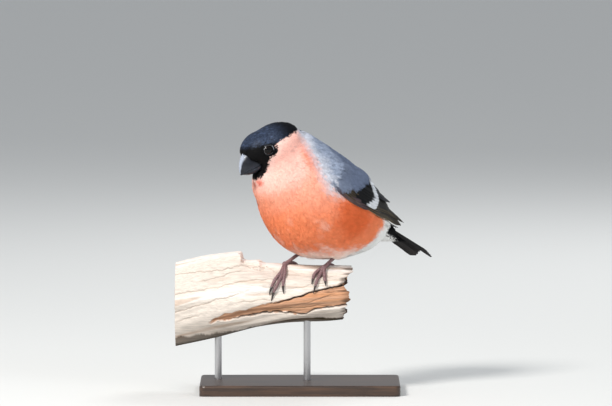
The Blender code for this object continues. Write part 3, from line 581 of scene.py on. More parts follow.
def add_rings(bm, rings):
    """A closed skin through rings of equally many points."""
    edges = []
    made = []
    for ring in rings:
        verts = [bm.verts.new(point) for point in ring]
        made.append(verts)
        edges += [bm.edges.new((verts[k - 1], verts[k])) for k in range(len(verts))]
    bmesh.ops.bridge_loops(bm, edges=edges)
    bm.faces.new(made[0])
    bm.faces.new(made[-1])
    bmesh.ops.recalc_face_normals(bm, faces=bm.faces)


def tube(points, radii, sides=10):
    """A round limb along world points, as a bmesh."""
    curve = bpy.data.curves.new("limb", "CURVE")
    curve.dimensions = "3D"
    curve.bevel_depth = 1.0
    curve.bevel_resolution = max(sides // 2 - 1, 1)
    curve.use_fill_caps = True
    spline = curve.splines.new("POLY")
    spline.points.add(len(points) - 1)
    for control, point, radius in zip(spline.points, points, radii):
        control.co = (*point, 1.0)
        control.radius = radius
    drawn = bpy.data.objects.new("limb", curve)
    bpy.context.scene.collection.objects.link(drawn)
    mesh = bpy.data.meshes.new_from_object(drawn.evaluated_get(bpy.context.evaluated_depsgraph_get()))
    bpy.data.objects.remove(drawn, do_unlink=True)
    bm = bmesh.new()
    bm.from_mesh(mesh)
    bpy.data.meshes.remove(mesh)
    bmesh.ops.remove_doubles(bm, verts=bm.verts, dist=1e-6)
    bmesh.ops.recalc_face_normals(bm, faces=bm.faces)
    return bm


def add_to(bm, other):
    mesh = bpy.data.meshes.new("passing")
    other.to_mesh(mesh)
    other.free()
    bm.from_mesh(mesh)
    bpy.data.meshes.remove(mesh)


# Materials

def new_material(name, colour, roughness, **settings):
    material = bpy.data.materials.new(name)
    material.use_nodes = True
    shader = material.node_tree.nodes["Principled BSDF"]
    shader.inputs["Base Color"].default_value = (*colour, 1.0)
    shader.inputs["Roughness"].default_value = roughness
    for socket, value in settings.items():
        shader.inputs[socket.replace("_", " ")].default_value = value
    return material, material.node_tree.nodes, material.node_tree.links, shader


def node(nodes, kind, **settings):
    made = nodes.new(kind)
    for name, value in settings.items():
        if hasattr(made, name):
            setattr(made, name, value)
        else:
            made.inputs[name.replace("_", " ")].default_value = value
    return made


def ramp(nodes, *stops):
    made = nodes.new("ShaderNodeValToRGB")
    while len(made.color_ramp.elements) < len(stops):
        made.color_ramp.elements.new(0.5)
    for element, (place, colour) in zip(made.color_ramp.elements, stops):
        element.position = place
        element.color = (*colour, 1.0)
    return made


def scale_colour(nodes, links, colour, share):
    """A colour made darker or lighter by a share."""
    scaled = node(nodes, "ShaderNodeVectorMath", operation="SCALE")
    links.new(colour, scaled.inputs[0])
    links.new(share, scaled.inputs["Scale"])
    return scaled.outputs[0]


def add_bump(nodes, links, shader, height, strength, distance):
    """Lets a height stand off the surface by a distance in millimetres."""
    rise = node(nodes, "ShaderNodeBump", Strength=strength, Distance=distance * MM)
    links.new(height, rise.inputs["Height"])
    links.new(rise.outputs["Normal"], shader.inputs["Normal"])


def set_roughness(nodes, links, shader, share, least, most):
    """Roughness between two values, least where the share is 0."""
    rough = node(nodes, "ShaderNodeMapRange", To_Min=least, To_Max=most)
    links.new(share, rough.inputs["Value"])
    links.new(rough.outputs["Result"], shader.inputs["Roughness"])


def drawn_out(nodes, links, scale, turn=0.0):
    """Object coordinates scaled along each axis, so that a noise becomes grain."""
    place = nodes.new("ShaderNodeTexCoord")
    stretch = nodes.new("ShaderNodeMapping")
    stretch.inputs["Scale"].default_value = scale
    stretch.inputs["Rotation"].default_value = (0.0, 0.0, math.radians(turn))
    links.new(place.outputs["Object"], stretch.inputs["Vector"])
    return stretch.outputs[0]


def make_fine_grain():
    """A group that varies a colour a little and gives a height, both on Object coordinates."""
    group = bpy.data.node_groups.new("fine grain", "ShaderNodeTree")
    face = group.interface
    face.new_socket("Colour", in_out="INPUT", socket_type="NodeSocketColor")
    face.new_socket("Size", in_out="INPUT", socket_type="NodeSocketFloat")
    face.new_socket("Change", in_out="INPUT", socket_type="NodeSocketFloat")
    face.new_socket("Colour", in_out="OUTPUT", socket_type="NodeSocketColor")
    face.new_socket("Height", in_out="OUTPUT", socket_type="NodeSocketFloat")
    nodes, links = group.nodes, group.links
    start, end = nodes.new("NodeGroupInput"), nodes.new("NodeGroupOutput")
    place = nodes.new("ShaderNodeTexCoord")
    noise = node(nodes, "ShaderNodeTexNoise", Detail=4.0, Roughness=0.6)
    links.new(place.outputs["Object"], noise.inputs["Vector"])
    links.new(start.outputs["Size"], noise.inputs["Scale"])
    spread = node(nodes, "ShaderNodeMapRange", To_Min=-1.0, To_Max=1.0)
    links.new(noise.outputs["Fac"], spread.inputs["Value"])
    scaled = node(nodes, "ShaderNodeMath", operation="MULTIPLY_ADD")
    scaled.inputs[2].default_value = 1.0
    links.new(spread.outputs["Result"], scaled.inputs[0])
    links.new(start.outputs["Change"], scaled.inputs[1])
    colour = scale_colour(nodes, links, start.outputs["Colour"], scaled.outputs[0])
    links.new(colour, end.inputs["Colour"])
    links.new(noise.outputs["Fac"], end.inputs["Height"])
    return group


FINE_GRAIN = make_fine_grain()


def with_grain(nodes, links, shader, colour, size, change, bump):
    """Puts the fine grain between a colour and a shader, and its height into the shader's normal."""
    grain = nodes.new("ShaderNodeGroup")
    grain.node_tree = FINE_GRAIN
    grain.inputs["Size"].default_value = size
    grain.inputs["Change"].default_value = change
    if isinstance(colour, bpy.types.NodeSocket):
        links.new(colour, grain.inputs["Colour"])
    else:
        grain.inputs["Colour"].default_value = (*colour, 1.0)
    links.new(grain.outputs["Colour"], shader.inputs["Base Color"])
    if bump:
        add_bump(nodes, links, shader, grain.outputs["Height"], 0.6, bump)
    return grain


def plumage_material(name, grain_size):
    """Feathers coloured by their own attribute, glossier where its fourth value is high."""
    material, nodes, links, shader = new_material(name, (0.5, 0.5, 0.5), 0.8)
    shader.inputs["Specular IOR Level"].default_value = 0.16
    own = node(nodes, "ShaderNodeAttribute", attribute_name="plumage")
    with_grain(nodes, links, shader, own.outputs["Color"], grain_size, 0.12, 0.0)
    set_roughness(nodes, links, shader, own.outputs["Alpha"], 0.88, 0.36)
    return material


def vane_material():
    """Flight feathers: barbs that run slantwise from the shaft, from the feather's own map."""
    material, nodes, links, shader = new_material("flight feathers", (0.02, 0.02, 0.02), 0.45)
    shader.inputs["Specular IOR Level"].default_value = 0.2
    own = node(nodes, "ShaderNodeAttribute", attribute_name="plumage")
    place = node(nodes, "ShaderNodeUVMap", uv_map="Vane")
    split = nodes.new("ShaderNodeSeparateXYZ")
    links.new(place.outputs["UV"], split.inputs[0])
    slant = node(nodes, "ShaderNodeMath", operation="ABSOLUTE")
    links.new(split.outputs["X"], slant.inputs[0])
    along = node(nodes, "ShaderNodeMath", operation="MULTIPLY_ADD")
    along.inputs[1].default_value = -0.9
    links.new(slant.outputs[0], along.inputs[0])
    links.new(split.outputs["Y"], along.inputs[2])
    barbs = nodes.new("ShaderNodeCombineXYZ")
    links.new(along.outputs[0], barbs.inputs["Y"])
    wave = node(nodes, "ShaderNodeTexWave", bands_direction="Y", Scale=1.1, Distortion=0.2)
    wave.inputs["Detail"].default_value = 1.0
    links.new(barbs.outputs[0], wave.inputs["Vector"])
    shade = node(nodes, "ShaderNodeMapRange", To_Min=0.88, To_Max=1.06)
    links.new(wave.outputs["Fac"], shade.inputs["Value"])
    colour = scale_colour(nodes, links, own.outputs["Color"], shade.outputs["Result"])
    with_grain(nodes, links, shader, colour, 900.0, 0.15, 0.0)
    add_bump(nodes, links, shader, wave.outputs["Fac"], 0.25, 0.05)
    set_roughness(nodes, links, shader, own.outputs["Alpha"], 0.75, 0.36)
    return material


# Skin

def frozen(obj):
    """The mesh of an object with its modifiers applied; the object goes."""
    graph = bpy.context.evaluated_depsgraph_get()
    graph.update()
    mesh = bpy.data.meshes.new_from_object(obj.evaluated_get(graph))
    bpy.data.objects.remove(obj, do_unlink=True)
    return mesh


FILLING_LENGTH = 56.0


def add_wing_filling(bm, side):
    """Fills the place of a folded wing, so that the skin runs on under its feathers."""
    filling = bmesh.new()
    bmesh.ops.create_grid(filling, x_segments=24, y_segments=12, size=0.5)
    for vert in filling.verts:
        along = (vert.co.x + 0.5) * FILLING_LENGTH - 0.5
        high = float(wing_top(along))
        front = min(max(along, 0.0) / 10.0, 1.0)
        narrow = 8.0 * (1 - math.sqrt(1 - (1 - front) ** 2))
        share = vert.co.y + 0.5
        across = narrow - 0.4 + (high - 2 * narrow + 1.2) * share
        hump = min(front, 1.0, (1 - abs(2 * share - 1)) * 3.0) * float(ease(np.array(-along), -42.0, -26.0))
        lift = -0.5 + 1.5 * hump
        point = wing_points([along], [across], lift)[0]
        vert.co = BODY @ (Vector((point[0], side * point[1], point[2])) * MM)
    bmesh.ops.recalc_face_normals(filling, faces=filling.faces)
    bmesh.ops.solidify(filling, geom=filling.faces[:], thickness=2.6 * MM * side)
    bmesh.ops.recalc_face_normals(filling, faces=filling.faces)
    add_to(bm, filling)


def add_tail_root(bm):
    """The fleshy root of the tail and the feathers under it, as far as the small feathers go."""
    root = bmesh.new()
    rings = []
    for along, half_width, top, bottom in (
        (-6.0, 10.5, 1.0, -14.6), (0.0, 10.0, 0.8, -15.4), (7.0, 8.8, 0.2, -13.8),
        (14.0, 7.4, -0.6, -10.6), (21.0, 5.8, -1.4, -7.4), (25.0, 3.6, -2.2, -5.4),
    ):
        middle, reach = (top + bottom) / 2, (top - bottom) / 2
        turns = np.linspace(0, 2 * math.pi, 32, endpoint=False)
        across = half_width * np.cos(turns)
        ring = tail_points(np.full(32, along), across, middle + reach * np.sin(turns))
        rings.append([Vector(point) for point in into_world(BODY, ring)])
    add_rings(root, rings)
    add_to(bm, root)


def make_skin():
    """One skin from copies of the flesh nodes, sunk below them by the coat's depth."""
    bm = bmesh.new()
    for name in ("head", "neck", "torso", "eye_left", "eye_right"):
        bm.from_mesh(frame["nodes"][name].data)
    add_tail_root(bm)
    for side in (1, -1):
        add_wing_filling(bm, side)
    bmesh.ops.remove_doubles(bm, verts=bm.verts, dist=1e-6)
    mesh = bpy.data.meshes.new("skin")
    bm.to_mesh(mesh)
    bm.free()
    obj = bpy.data.objects.new("skin", mesh)
    bpy.context.scene.collection.objects.link(obj)
    remesh = obj.modifiers.new("blend", "REMESH")
    remesh.mode = "VOXEL"
    remesh.voxel_size = 0.9 * MM
    soften = obj.modifiers.new("soften", "SMOOTH")
    soften.factor = 0.5
    soften.iterations = 9
    mesh = frozen(obj)
    points, normals = places_of(mesh), normals_of(mesh)
    points -= normals * (coat_depth(points) * MM)[:, None]
    mesh.vertices.foreach_set("co", points.astype(np.float32).ravel())
    mesh.update()
    colours = plumage(points)
    colours[:, :3] *= 0.9
    colours[:, 3] = 0.0
    paint(mesh, "plumage", colours)
    mesh.shade_smooth()
    return mesh


# Coat

ROOTS_TRIED = 14  # on each square millimetre


def roots_on(mesh, seed):
    """Evenly scattered places on the skin, with the skin's normal there."""
    mesh.calc_loop_triangles()
    corners = np.empty(len(mesh.loop_triangles) * 3, np.int32)
    mesh.loop_triangles.foreach_get("vertices", corners)
    corners = corners.reshape(-1, 3)
    points, normals = places_of(mesh), normals_of(mesh)
    a, b, c = (points[corners[:, k]] for k in range(3))
    area = np.linalg.norm(np.cross(b - a, c - a), axis=1) / 2
    draw = np.random.default_rng(seed)
    total = int(area.sum() / (MM * MM) * ROOTS_TRIED)
    picked = draw.choice(len(area), size=total, p=area / area.sum())
    u, v = draw.random(total), draw.random(total)
    over = u + v > 1
    u[over], v[over] = 1 - u[over], 1 - v[over]
    w = 1 - u - v
    spots = w[:, None] * a[picked] + u[:, None] * b[picked] + v[:, None] * c[picked]
    na, nb, nc = (normals[corners[picked, k]] for k in range(3))
    ways = unit(w[:, None] * na + u[:, None] * nb + v[:, None] * nc)
    # spaced by the feathers' length, one to a cell
    spacing = 0.27 * feather_length(spots) ** 0.62
    step = np.round(spacing / 0.08).astype(int)
    cells = spots / MM / (step * 0.08)[:, None]
    floor = np.floor(cells).astype(np.int64)
    far = np.linalg.norm(cells - floor - 0.5, axis=1)
    order = np.argsort(far, kind="stable")
    keys = ((floor[:, 0] * 4099 + floor[:, 1]) * 4099 + floor[:, 2]) * 64 + step
    _, first = np.unique(keys[order], return_index=True)
    kept = np.sort(order[first])
    return spots[kept], ways[kept]


def lie_of_feathers(spots, ways):
    """The way that the feathers lie: back from the bill over the head, then down and back."""
    head, body = out_of_world(HEAD, spots), out_of_world(BODY, spots)
    head_turn, body_turn = np.array(HEAD)[:3, :3], np.array(BODY)[:3, :3]
    from_bill = head - (19.0, 0.0, 0.5)
    from_bill[:, 2] *= 0.8
    near = unit(from_bill @ head_turn.T)
    table = np.array(SECTIONS)[::-1]
    pitch = np.radians(np.interp(body[:, 0], table[:, 0], table[:, 2]))
    far = np.stack([-np.cos(pitch), np.zeros(len(pitch)), -np.sin(pitch)], axis=1) @ body_turn.T
    share = ease(np.linalg.norm(head, axis=1), 12.0, 26.0)
    return along_skin(mixed(near, far, share), ways)


def body_chart(points):
    """Rough chart places of world points on the body: along from the nape and the angle."""
    alongs, angles = np.meshgrid(np.arange(0.0, 99.0, 1.0), np.arange(-180.0, 180.0, 3.0), indexing="ij")
    alongs, angles = alongs.ravel(), angles.ravel()
    found = nearest(side_points(alongs, angles, 0.0), out_of_world(BODY, points))
    return alongs[found], angles[found]


def wing_chart(along, angle):
    """Places of the wing's chart from those of the body's."""
    sizes = smooth_between(GUIDE, along)
    return along - WRIST_ALONG, np.radians(angle - LEADING_ANGLE) * (sizes[:, 3] + sizes[:, 4]) / 2


def grow_wing_front(name, side, material, seed):
    """The small grey feathers that lie over the front of the folded wing, in overlapping rows."""
    draw = np.random.default_rng(seed)
    along, across = np.meshgrid(np.arange(-4.0, 40.0, 0.8), np.arange(-0.6, 27.0, 0.8), indexing="ij")
    along = along.ravel() + draw.uniform(-0.4, 0.4, along.size)
    across = across.ravel() + draw.uniform(-0.4, 0.4, across.size)
    length = 5.0 + 0.09 * np.maximum(along, 0)
    reach = from_table(across, GREY_REACH) + 0.5 * np.sin(across * 2.6)
    kept = along + 0.95 * length < reach
    along, across, length = along[kept], across[kept], length[kept]
    lift = np.interp(along, (-4.0, 2.0, 12.0, 20.0, 34.0), (-0.9, 0.0, 0.9, 1.5, 1.9))
    lift -= 0.8 * ease(-across, -1.6, 0.4) + 1.2 * ease(across, 17.0, 25.0)
    spots = wing_points(along, across, lift)
    ways = wing_points(along, across, lift + 1.0) - spots
    lie = wing_points(along + 1.0, across, lift) - spots
    for array in (spots, ways, lie):
        array[:, 1] *= side
    turn = np.array(BODY)[:3, :3]
    ways = unit(ways @ turn.T)
    lie = along_skin(lie @ turn.T, ways)
    patches = cloud(spots, 5.0, 4)
    colour = mixed(MANTLE_GREY, SCAPULAR_GREY, ease(along + 0.3 * across + 2 * patches, 0.0, 22.0))
    colour = mixed(colour, NAPE_GREY, 0.8 * ease(-along - 0.2 * across + 2 * patches, -9.0, 2.0))
    colour = mixed(colour, THUMB_BROWN, 0.7 * ease(-across, -2.6, -1.0) * ease(along, 4.0, 9.0))
    colours = np.column_stack([colour, np.full(len(along), 0.2)])
    depth, drop = np.full(len(along), 0.6), -(length**2) / 44.0
    spots = into_world(BODY, spots)
    grow_tufts(name, spots, ways, lie, length, depth, colours, material, drop, seed)


def grow_bristles(name, material, seed):
    """Short black bristles that reach forward over the root of the bill and its nostrils."""
    draw = np.random.default_rng(seed)
    count = 150
    turn = np.radians(draw.uniform(8.0, 172.0, count))
    forward = draw.uniform(11.6, 13.4, count)
    around = np.stack([np.zeros(count), np.cos(turn), np.sin(turn)], axis=1)
    height = -3.2 + 10.0 * np.sin(turn) ** 0.8
    spots = np.stack([forward, 5.3 * np.cos(turn), height - 0.1], axis=1)
    lie = np.tile((1.0, 0.0, -0.2), (count, 1)) + draw.normal(0, 0.12, (count, 3))
    axes = np.array(HEAD)[:3, :3]
    ways = around @ axes.T
    lie = along_skin(lie @ axes.T, ways)
    length = draw.uniform(1.3, 2.5, count)
    colours = np.tile((*FACE_BLACK, 0.3), (count, 1))
    depth, drop = np.full(count, 0.35), -0.12 * length
    spots = into_world(HEAD, spots)
    grow_tufts(name, spots, ways, lie, length, depth, colours, material, drop, seed)


BARBS = (  # where a barb leaves the shaft, its slant in degrees and its length, as shares
    (0.0, 0.0, 1.0),
    (0.08, 25.0, 0.76), (0.08, -25.0, 0.76),
    (0.28, 19.0, 0.66), (0.28, -19.0, 0.66),
    (0.5, 13.0, 0.5), (0.5, -13.0, 0.5),
)
BARB_STATIONS = (0.0, 0.36, 0.7, 1.0)
BARB_WIDTHS = (0.55, 1.0, 0.8, 0.0)


def grow_tufts(name, spots, ways, lie, length, depth, colours, material, drop, seed):
    """Small feathers as fans of barbs.

    drop is how far each tip lies above its root's plane, and not a number where it follows the skin.
    """
    draw = np.random.default_rng(seed)
    count = len(spots)
    side = np.cross(ways, lie)
    length = length * draw.uniform(0.82, 1.18, count)
    veer = np.radians(draw.normal(0, 7.0, count))
    way = lie * np.cos(veer)[:, None] + side * np.sin(veer)[:, None]
    side = np.cross(ways, way)
    tips = spots + way * (length * MM)[:, None]
    above = np.empty(count)
    for index, tip in enumerate(tips):
        place, normal, _, _ = skin_tree.find_nearest(tip)
        above[index] = (Vector(tip) - place).dot(normal) / MM
    drop = np.where(np.isnan(drop), np.clip(-above, -0.9 * length, 0.6 * length), drop)
    rise = depth * draw.uniform(0.8, 1.25, count)
    turn_up = draw.uniform(-0.1, 0.1, count)
    points, tones, flat = [], [], []
    for start, slant, share in BARBS:
        angle = np.radians(slant + draw.normal(0, 4.0, count))
        long = share * length * draw.uniform(0.85, 1.12, count)
        half = 0.025 * length ** 0.75 * draw.uniform(0.8, 1.3, count) + 0.04
        for station, width in zip(BARB_STATIONS, BARB_WIDTHS):
            x = start * length + long * np.cos(angle) * station
            y = long * np.sin(angle) * (station - 0.38 * station**2)
            u = np.clip(x / length, 0, 1.2)
            z = rise * (1 - (1 - np.minimum(u, 1)) ** 2) - 0.25 * (1 - np.minimum(u, 1)) ** 4
            z += drop * u**2 + turn_up * u**3 * depth - 0.05 * y * y
            for edge in ((-1, 1) if width else (0,)):
                across = y + edge * half * width * np.cos(angle)
                ahead = x - edge * half * width * np.sin(angle)
                place = spots + (way * ahead[:, None] + side * across[:, None] + ways * z[:, None]) * MM
                points.append(place)
                flat.append(np.stack([across / length + 0.5, ahead / (1.2 * length)], axis=1))
                tones.append(0.86 + 0.2 * np.minimum(u, 1.0))
    per = len(points)
    points = np.stack(points, axis=1).reshape(-1, 3)
    spread = 0.06 + 0.7 * np.maximum(colours[:, 3] - 0.3, 0.0)
    shade = np.stack(tones, axis=1) * np.exp(draw.normal(0, 1.0, count) * spread)[:, None]
    colour = np.repeat(colours, per, axis=0)
    colour[:, :3] *= shade.reshape(-1)[:, None]
    barb = 2 * (len(BARB_STATIONS) - 1) + 1
    quads, tris = [], []
    for index in range(len(BARBS)):
        base = index * barb
        quads += [(base, base + 1, base + 3, base + 2), (base + 2, base + 3, base + 5, base + 4)]
        tris.append((base + 4, base + 5, base + 6))
    offsets = (np.arange(count) * per)[:, None, None]
    quads = (np.array(quads)[None] + offsets).reshape(-1, 4)
    tris = (np.array(tris)[None] + offsets).reshape(-1, 3)
    bake = bake_places(spots, np.stack(flat, axis=1), name)
    mesh = array_mesh(name, points, quads, tris, colour, {"OFBake": bake})
    return show(name, mesh, material)


def bake_places(spots, flat, name):
    """The place of each tuft on an unwrap of the skin, as a small patch with the tuft laid flat."""
    if name.startswith("coat_head"):
        head = out_of_world(HEAD, spots)
        u = np.arctan2(head[:, 1], head[:, 0]) / (2 * math.pi) + 0.5
        v = np.arctan2(head[:, 2], np.hypot(head[:, 0], head[:, 1])) / math.pi + 0.5
    else:
        body = out_of_world(BODY, spots)
        u = np.arctan2(body[:, 2] + 4.0, body[:, 1]) / (2 * math.pi) + 0.5
        v = (body[:, 0] + 70.0) / 130.0
    home = np.stack([u, v], axis=1)[:, None]
    return (0.996 * np.clip(home, 0.0, 1.0) + 0.003 * np.clip(flat, 0.0, 1.0)).reshape(-1, 2)


TUFT_TRIANGLES = 5 * len(BARBS)
PIECE_TRIANGLES = 190000
TAIL_WAY = (-0.887, 0.0, -0.462)
EYE_OPENING = 3.35
PERCH_TOP = 74.2 * MM


def under_wing(spots, lengths):
    """Which roots lie under the folded wings, or would push their tips through the coverts."""
    along, angle = body_chart(spots)
    mirrored = np.where(np.abs(angle) > 90, np.sign(angle) * 180 - angle, angle)
    along, across = wing_chart(along, mirrored)
    top = wing_top(along)
    on_wing = (along > 0) & (along < 84)
    past_grey = along + 0.85 * lengths > from_table(across, GREY_REACH)
    deep = (along > 2.0) & (across > 1.5)
    covered = on_wing & (across > 0.0) & (across < top - 1.0) & (past_grey | deep)
    return covered | (on_wing & (along > 40.0) & (across > -0.5) & (across < top - 0.5))


def in_bill(head):
    """Which roots in the head's frame lie under the root of the bill."""
    half_bill = from_table(head[:, 0], BILL, 3)
    inside = (head[:, 0] > 12.2) & (np.abs(head[:, 1]) < half_bill - 0.5)
    return inside & (head[:, 2] < 6.2) & (head[:, 2] > -6.7)


def on_tail(body, ways):
    """Which roots in the body's frame lie where the tail's long feathers take over."""
    back, above = tail_places(body)
    facing_back = ways @ np.array(BODY.to_3x3()) @ np.array(TAIL_WAY)
    rear = (body[:, 0] < -27.0) & (np.abs(facing_back) > 0.6)
    covered = (back > 12.0) & ((facing_back > 0.75) | (above > -3.6))
    return rear | covered | (back > 23.5)


def grow_coat(mesh, material):
    """The small feathers all over the skin, in pieces for the parts of the bird."""
    spots, ways = roots_on(mesh, 1)
    lie = lie_of_feathers(spots, ways)
    head, body = out_of_world(HEAD, spots), out_of_world(BODY, spots)
    lengths = feather_length(spots)
    depths = coat_depth(spots)
    # feathers in front of the eye stop short of it
    tips = out_of_world(HEAD, spots + lie * (lengths * MM)[:, None])
    by_eye = (np.abs(head[:, 1]) > 5.0) & (head[:, 0] > 0)
    left_out = under_wing(spots, lengths) | in_bill(head) | on_tail(body, ways)
    left_out |= by_eye & (from_eye(head) < EYE_OPENING)
    lengths = np.where(by_eye & (from_eye(tips) < 3.5), lengths * 0.5, lengths)
    left_out |= (spots + lie * (lengths * MM)[:, None])[:, 2] < PERCH_TOP
    # over the tail's root the tips stay close, as its long feathers lie there
    drops = np.where(tail_places(body)[0] + lengths > 19.0, -0.3, np.nan)
    jitter = np.random.default_rng(9).normal(0, 0.35 * MM, spots.shape)
    colours = plumage(spots + jitter + lie * (0.45 * lengths * MM)[:, None])

    of_head = np.linalg.norm(head, axis=1) < 24
    in_cap = side_of(head[:, [0, 2]], CAP_LINE) > 0
    in_grey = side_of(body[:, [0, 2]], GREY_LINE) < 0
    high = body[:, 2] > -8
    zones = (
        ("coat_head_cap", of_head & in_cap, "cap_feathers"),
        ("coat_head_cheeks", of_head & ~in_cap, "breast_feathers"),
        ("coat_back", ~of_head & in_grey, "mantle_feathers"),
        ("coat_breast", ~of_head & ~in_grey & high, "breast_feathers"),
        ("coat_belly", ~of_head & ~in_grey & ~high, "breast_feathers"),
    )
    for number, (name, zone, slot) in enumerate(zones):
        chosen = np.nonzero(zone & ~left_out)[0]
        batches = math.ceil(len(chosen) * TUFT_TRIANGLES / PIECE_TRIANGLES)
        for batch in range(batches):
            rows = chosen[batch::batches]
            grow_tufts(
                f"{name}_{batch + 1}" if batches > 1 else name, spots[rows], ways[rows], lie[rows],
                lengths[rows], depths[rows], colours[rows], material, drops[rows],
                100 + 10 * number + batch,
            )


# Flight feathers

def closed_sheet(rows, columns):
    """Faces of a thin sheet whose upper and lower sides are grids of rows by columns points."""
    under = rows * columns
    faces = []
    for i in range(rows - 1):
        for j in range(columns - 1):
            a, b = i * columns + j, i * columns + j + 1
            c, d = b + columns, a + columns
            faces.append((a, b, c, d))
            faces.append((a + under, d + under, c + under, b + under))
    rim = list(range(columns))
    rim += [i * columns + columns - 1 for i in range(1, rows)]
    rim += [(rows - 1) * columns + j for j in range(columns - 2, -1, -1)]
    rim += [i * columns for i in range(rows - 2, 0, -1)]
    for a, b in zip(rim, rim[1:] + rim[:1]):
        faces.append((b, a, a + under, b + under))
    return np.array(faces)


VANE_ROWS = 18
VANE_COLUMNS = 11
VANE_THICKNESS = 0.2
VANE_FACES = closed_sheet(VANE_ROWS, VANE_COLUMNS)


def vane_points(place, start, end, half_width, tilt, blunt, outer, draw):
    """Points of one feather laid in a chart, and their shares of its length and width.

    tilt is how steeply its leading side rises, blunt is the share of its length over which the
    tip rounds off, and outer is how much of the width lies on the leading side of the shaft.
    """
    share, cross = np.meshgrid(np.linspace(0, 1, VANE_ROWS), np.linspace(-1, 1, VANE_COLUMNS), indexing="ij")
    share, cross = share.ravel(), cross.ravel()
    start, end = np.array(start), np.array(end)
    middle = start + (end - start) * share[:, None]
    swell = np.minimum(1.0, 0.55 + 1.5 * share)
    round_off = np.sqrt(np.clip(1 - (np.clip(share - (1 - blunt), 0, None) / blunt) ** 2.2, 0.0, 1.0))
    fray = 1 + 0.05 * np.sin(37 * share + draw.uniform(0, 6)) * np.sin(11 * share + draw.uniform(0, 6))
    width = 2 * half_width * swell * np.maximum(round_off, 0.05) * fray
    part = np.where(cross < 0, cross * outer, cross * (1 - outer))
    across = middle[:, 1] + part * width
    camber = 0.066 * half_width * (1 - cross**2)
    shaft = 0.16 * np.exp(-(cross / 0.09) ** 2) * (1 - 0.75 * share)
    lift = middle[:, 2] - tilt * part * width + camber + shaft
    tops = place(middle[:, 0], across, lift)
    thickness = VANE_THICKNESS * (1 - 0.75 * np.abs(cross) ** 3) * (1 - 0.4 * share)
    lows = place(middle[:, 0], across, lift - thickness - shaft * 1.3)
    return np.concatenate([tops, lows]), np.tile(share, 2), np.tile(cross, 2)


def grow_vanes(name, feathers, mirror, material, replaces):
    """Joins feathers to one piece; each is its points, shares, crosses and colours."""
    points, colours, vane, bake = [], [], [], []
    across = math.ceil(math.sqrt(len(feathers)))
    for index, (spots, share, cross, colour, length, width) in enumerate(feathers):
        placed = spots.copy()
        if mirror:
            placed[:, 1] *= -1
        points.append(into_world(BODY, placed))
        colours.append(colour)
        vane.append(np.stack([cross * width, share * length], axis=1))
        corner = np.array([index % across, index // across]) / across
        under = np.arange(len(share)) >= len(share) // 2
        local = np.stack([(cross * 0.24 + 0.25) + 0.5 * under, share * 0.96 + 0.02], axis=1)
        bake.append(corner + local / across)
    per = VANE_ROWS * VANE_COLUMNS * 2
    offsets = (np.arange(len(feathers)) * per)[:, None, None]
    faces = (VANE_FACES[None] + offsets).reshape(-1, 4)
    if mirror:
        faces = faces[:, ::-1]
    mesh = array_mesh(
        name, np.concatenate(points), faces, np.empty((0, 3), int), np.concatenate(colours),
        {"Vane": np.concatenate(vane), "OFBake": np.concatenate(bake)},
    )
    return show(name, mesh, material, replaces)


def flight_colour(kind, share, cross, index):
    """Colour and gloss over one feather of the wing or tail."""
    count = len(share)
    colour = np.tile(WING_BLACK, (count, 1))
    gloss = np.full(count, 0.62)
    leading = ease(-cross, 0.72, 0.98)
    wear = cloud(np.stack([share * 20, cross * 3 + index], 1), 3.0, index + 5)
    if kind == "primary":
        colour = mixed(colour, WING_OLIVE, 0.5 + 0.4 * share)
        colour = mixed(colour, WING_BUFF, leading * (0.85 if index == 0 else 0.3) * ease(-share, -0.93, -0.8))
        colour = mixed(colour, linear(66, 57, 46), ease(share, 0.86, 1.0) * 0.7)
        gloss[:] = 0.4
    if kind == "secondary":
        colour = mixed(colour, WING_OLIVE, 0.25 + 0.5 * ease(share, 0.75, 1.0))
        gloss[:] = 0.55
    if kind == "tertial":
        colour = mixed(colour, linear(34, 36, 46), 0.6)
    if kind == "greater covert":
        tip = 0.80 - 0.16 * ease(-index, -4.0, 0.0)
        white = ease(share + 0.015 * wear, tip - 0.012, tip + 0.03)
        colour = mixed(linear(10, 11, 14), BAR_WHITE, white)
        gloss = np.where(share > tip, 0.2, 0.5)
    if kind == "primary covert":
        colour = mixed(colour, WING_OLIVE, 0.4)
        colour = mixed(colour, WING_BUFF, leading * 0.5)
    if kind == "thumb":
        colour = mixed(THUMB_BROWN, linear(60, 50, 56), ease(cross, -0.5, 0.8))
        colour = mixed(colour, WING_BUFF, leading * 0.35)
        gloss[:] = 0.3
    if kind == "tail":
        colour = mixed(colour, linear(50, 44, 42), 0.35 + 0.4 * ease(share, 0.8, 1.0))
        gloss[:] = 0.5
    if kind == "undertail":
        colour = np.tile(VENT_WHITE, (count, 1))
        gloss[:] = 0.1
    if kind == "uppertail":
        gloss[:] = 0.7
    colour = colour * (1 + 0.10 * wear)[:, None] * (0.9 + 0.1 * np.cos(cross * 3))[:, None]
    rachis = np.exp(-(cross / 0.07) ** 2)
    if kind not in ("undertail", "greater covert"):
        colour = mixed(colour, linear(62, 54, 48), 0.5 * rachis)
    return np.column_stack([np.clip(colour, 0, 1), gloss])


def feather(kind, index, place, start, end, half_width, draw, tilt=0.17, blunt=0.2, outer=0.5):
    """One feather of the wing or tail with its colours, a little uneven in size."""
    half_width *= draw.uniform(0.96, 1.05)
    end = (end[0] + draw.uniform(-0.4, 0.4), end[1] + draw.uniform(-0.15, 0.15), end[2])
    points, share, cross = vane_points(place, start, end, half_width, tilt, blunt, outer, draw)
    colour = flight_colour(kind, share, cross, index)
    length = math.dist(start, end)
    return points, share, cross, colour, length, half_width


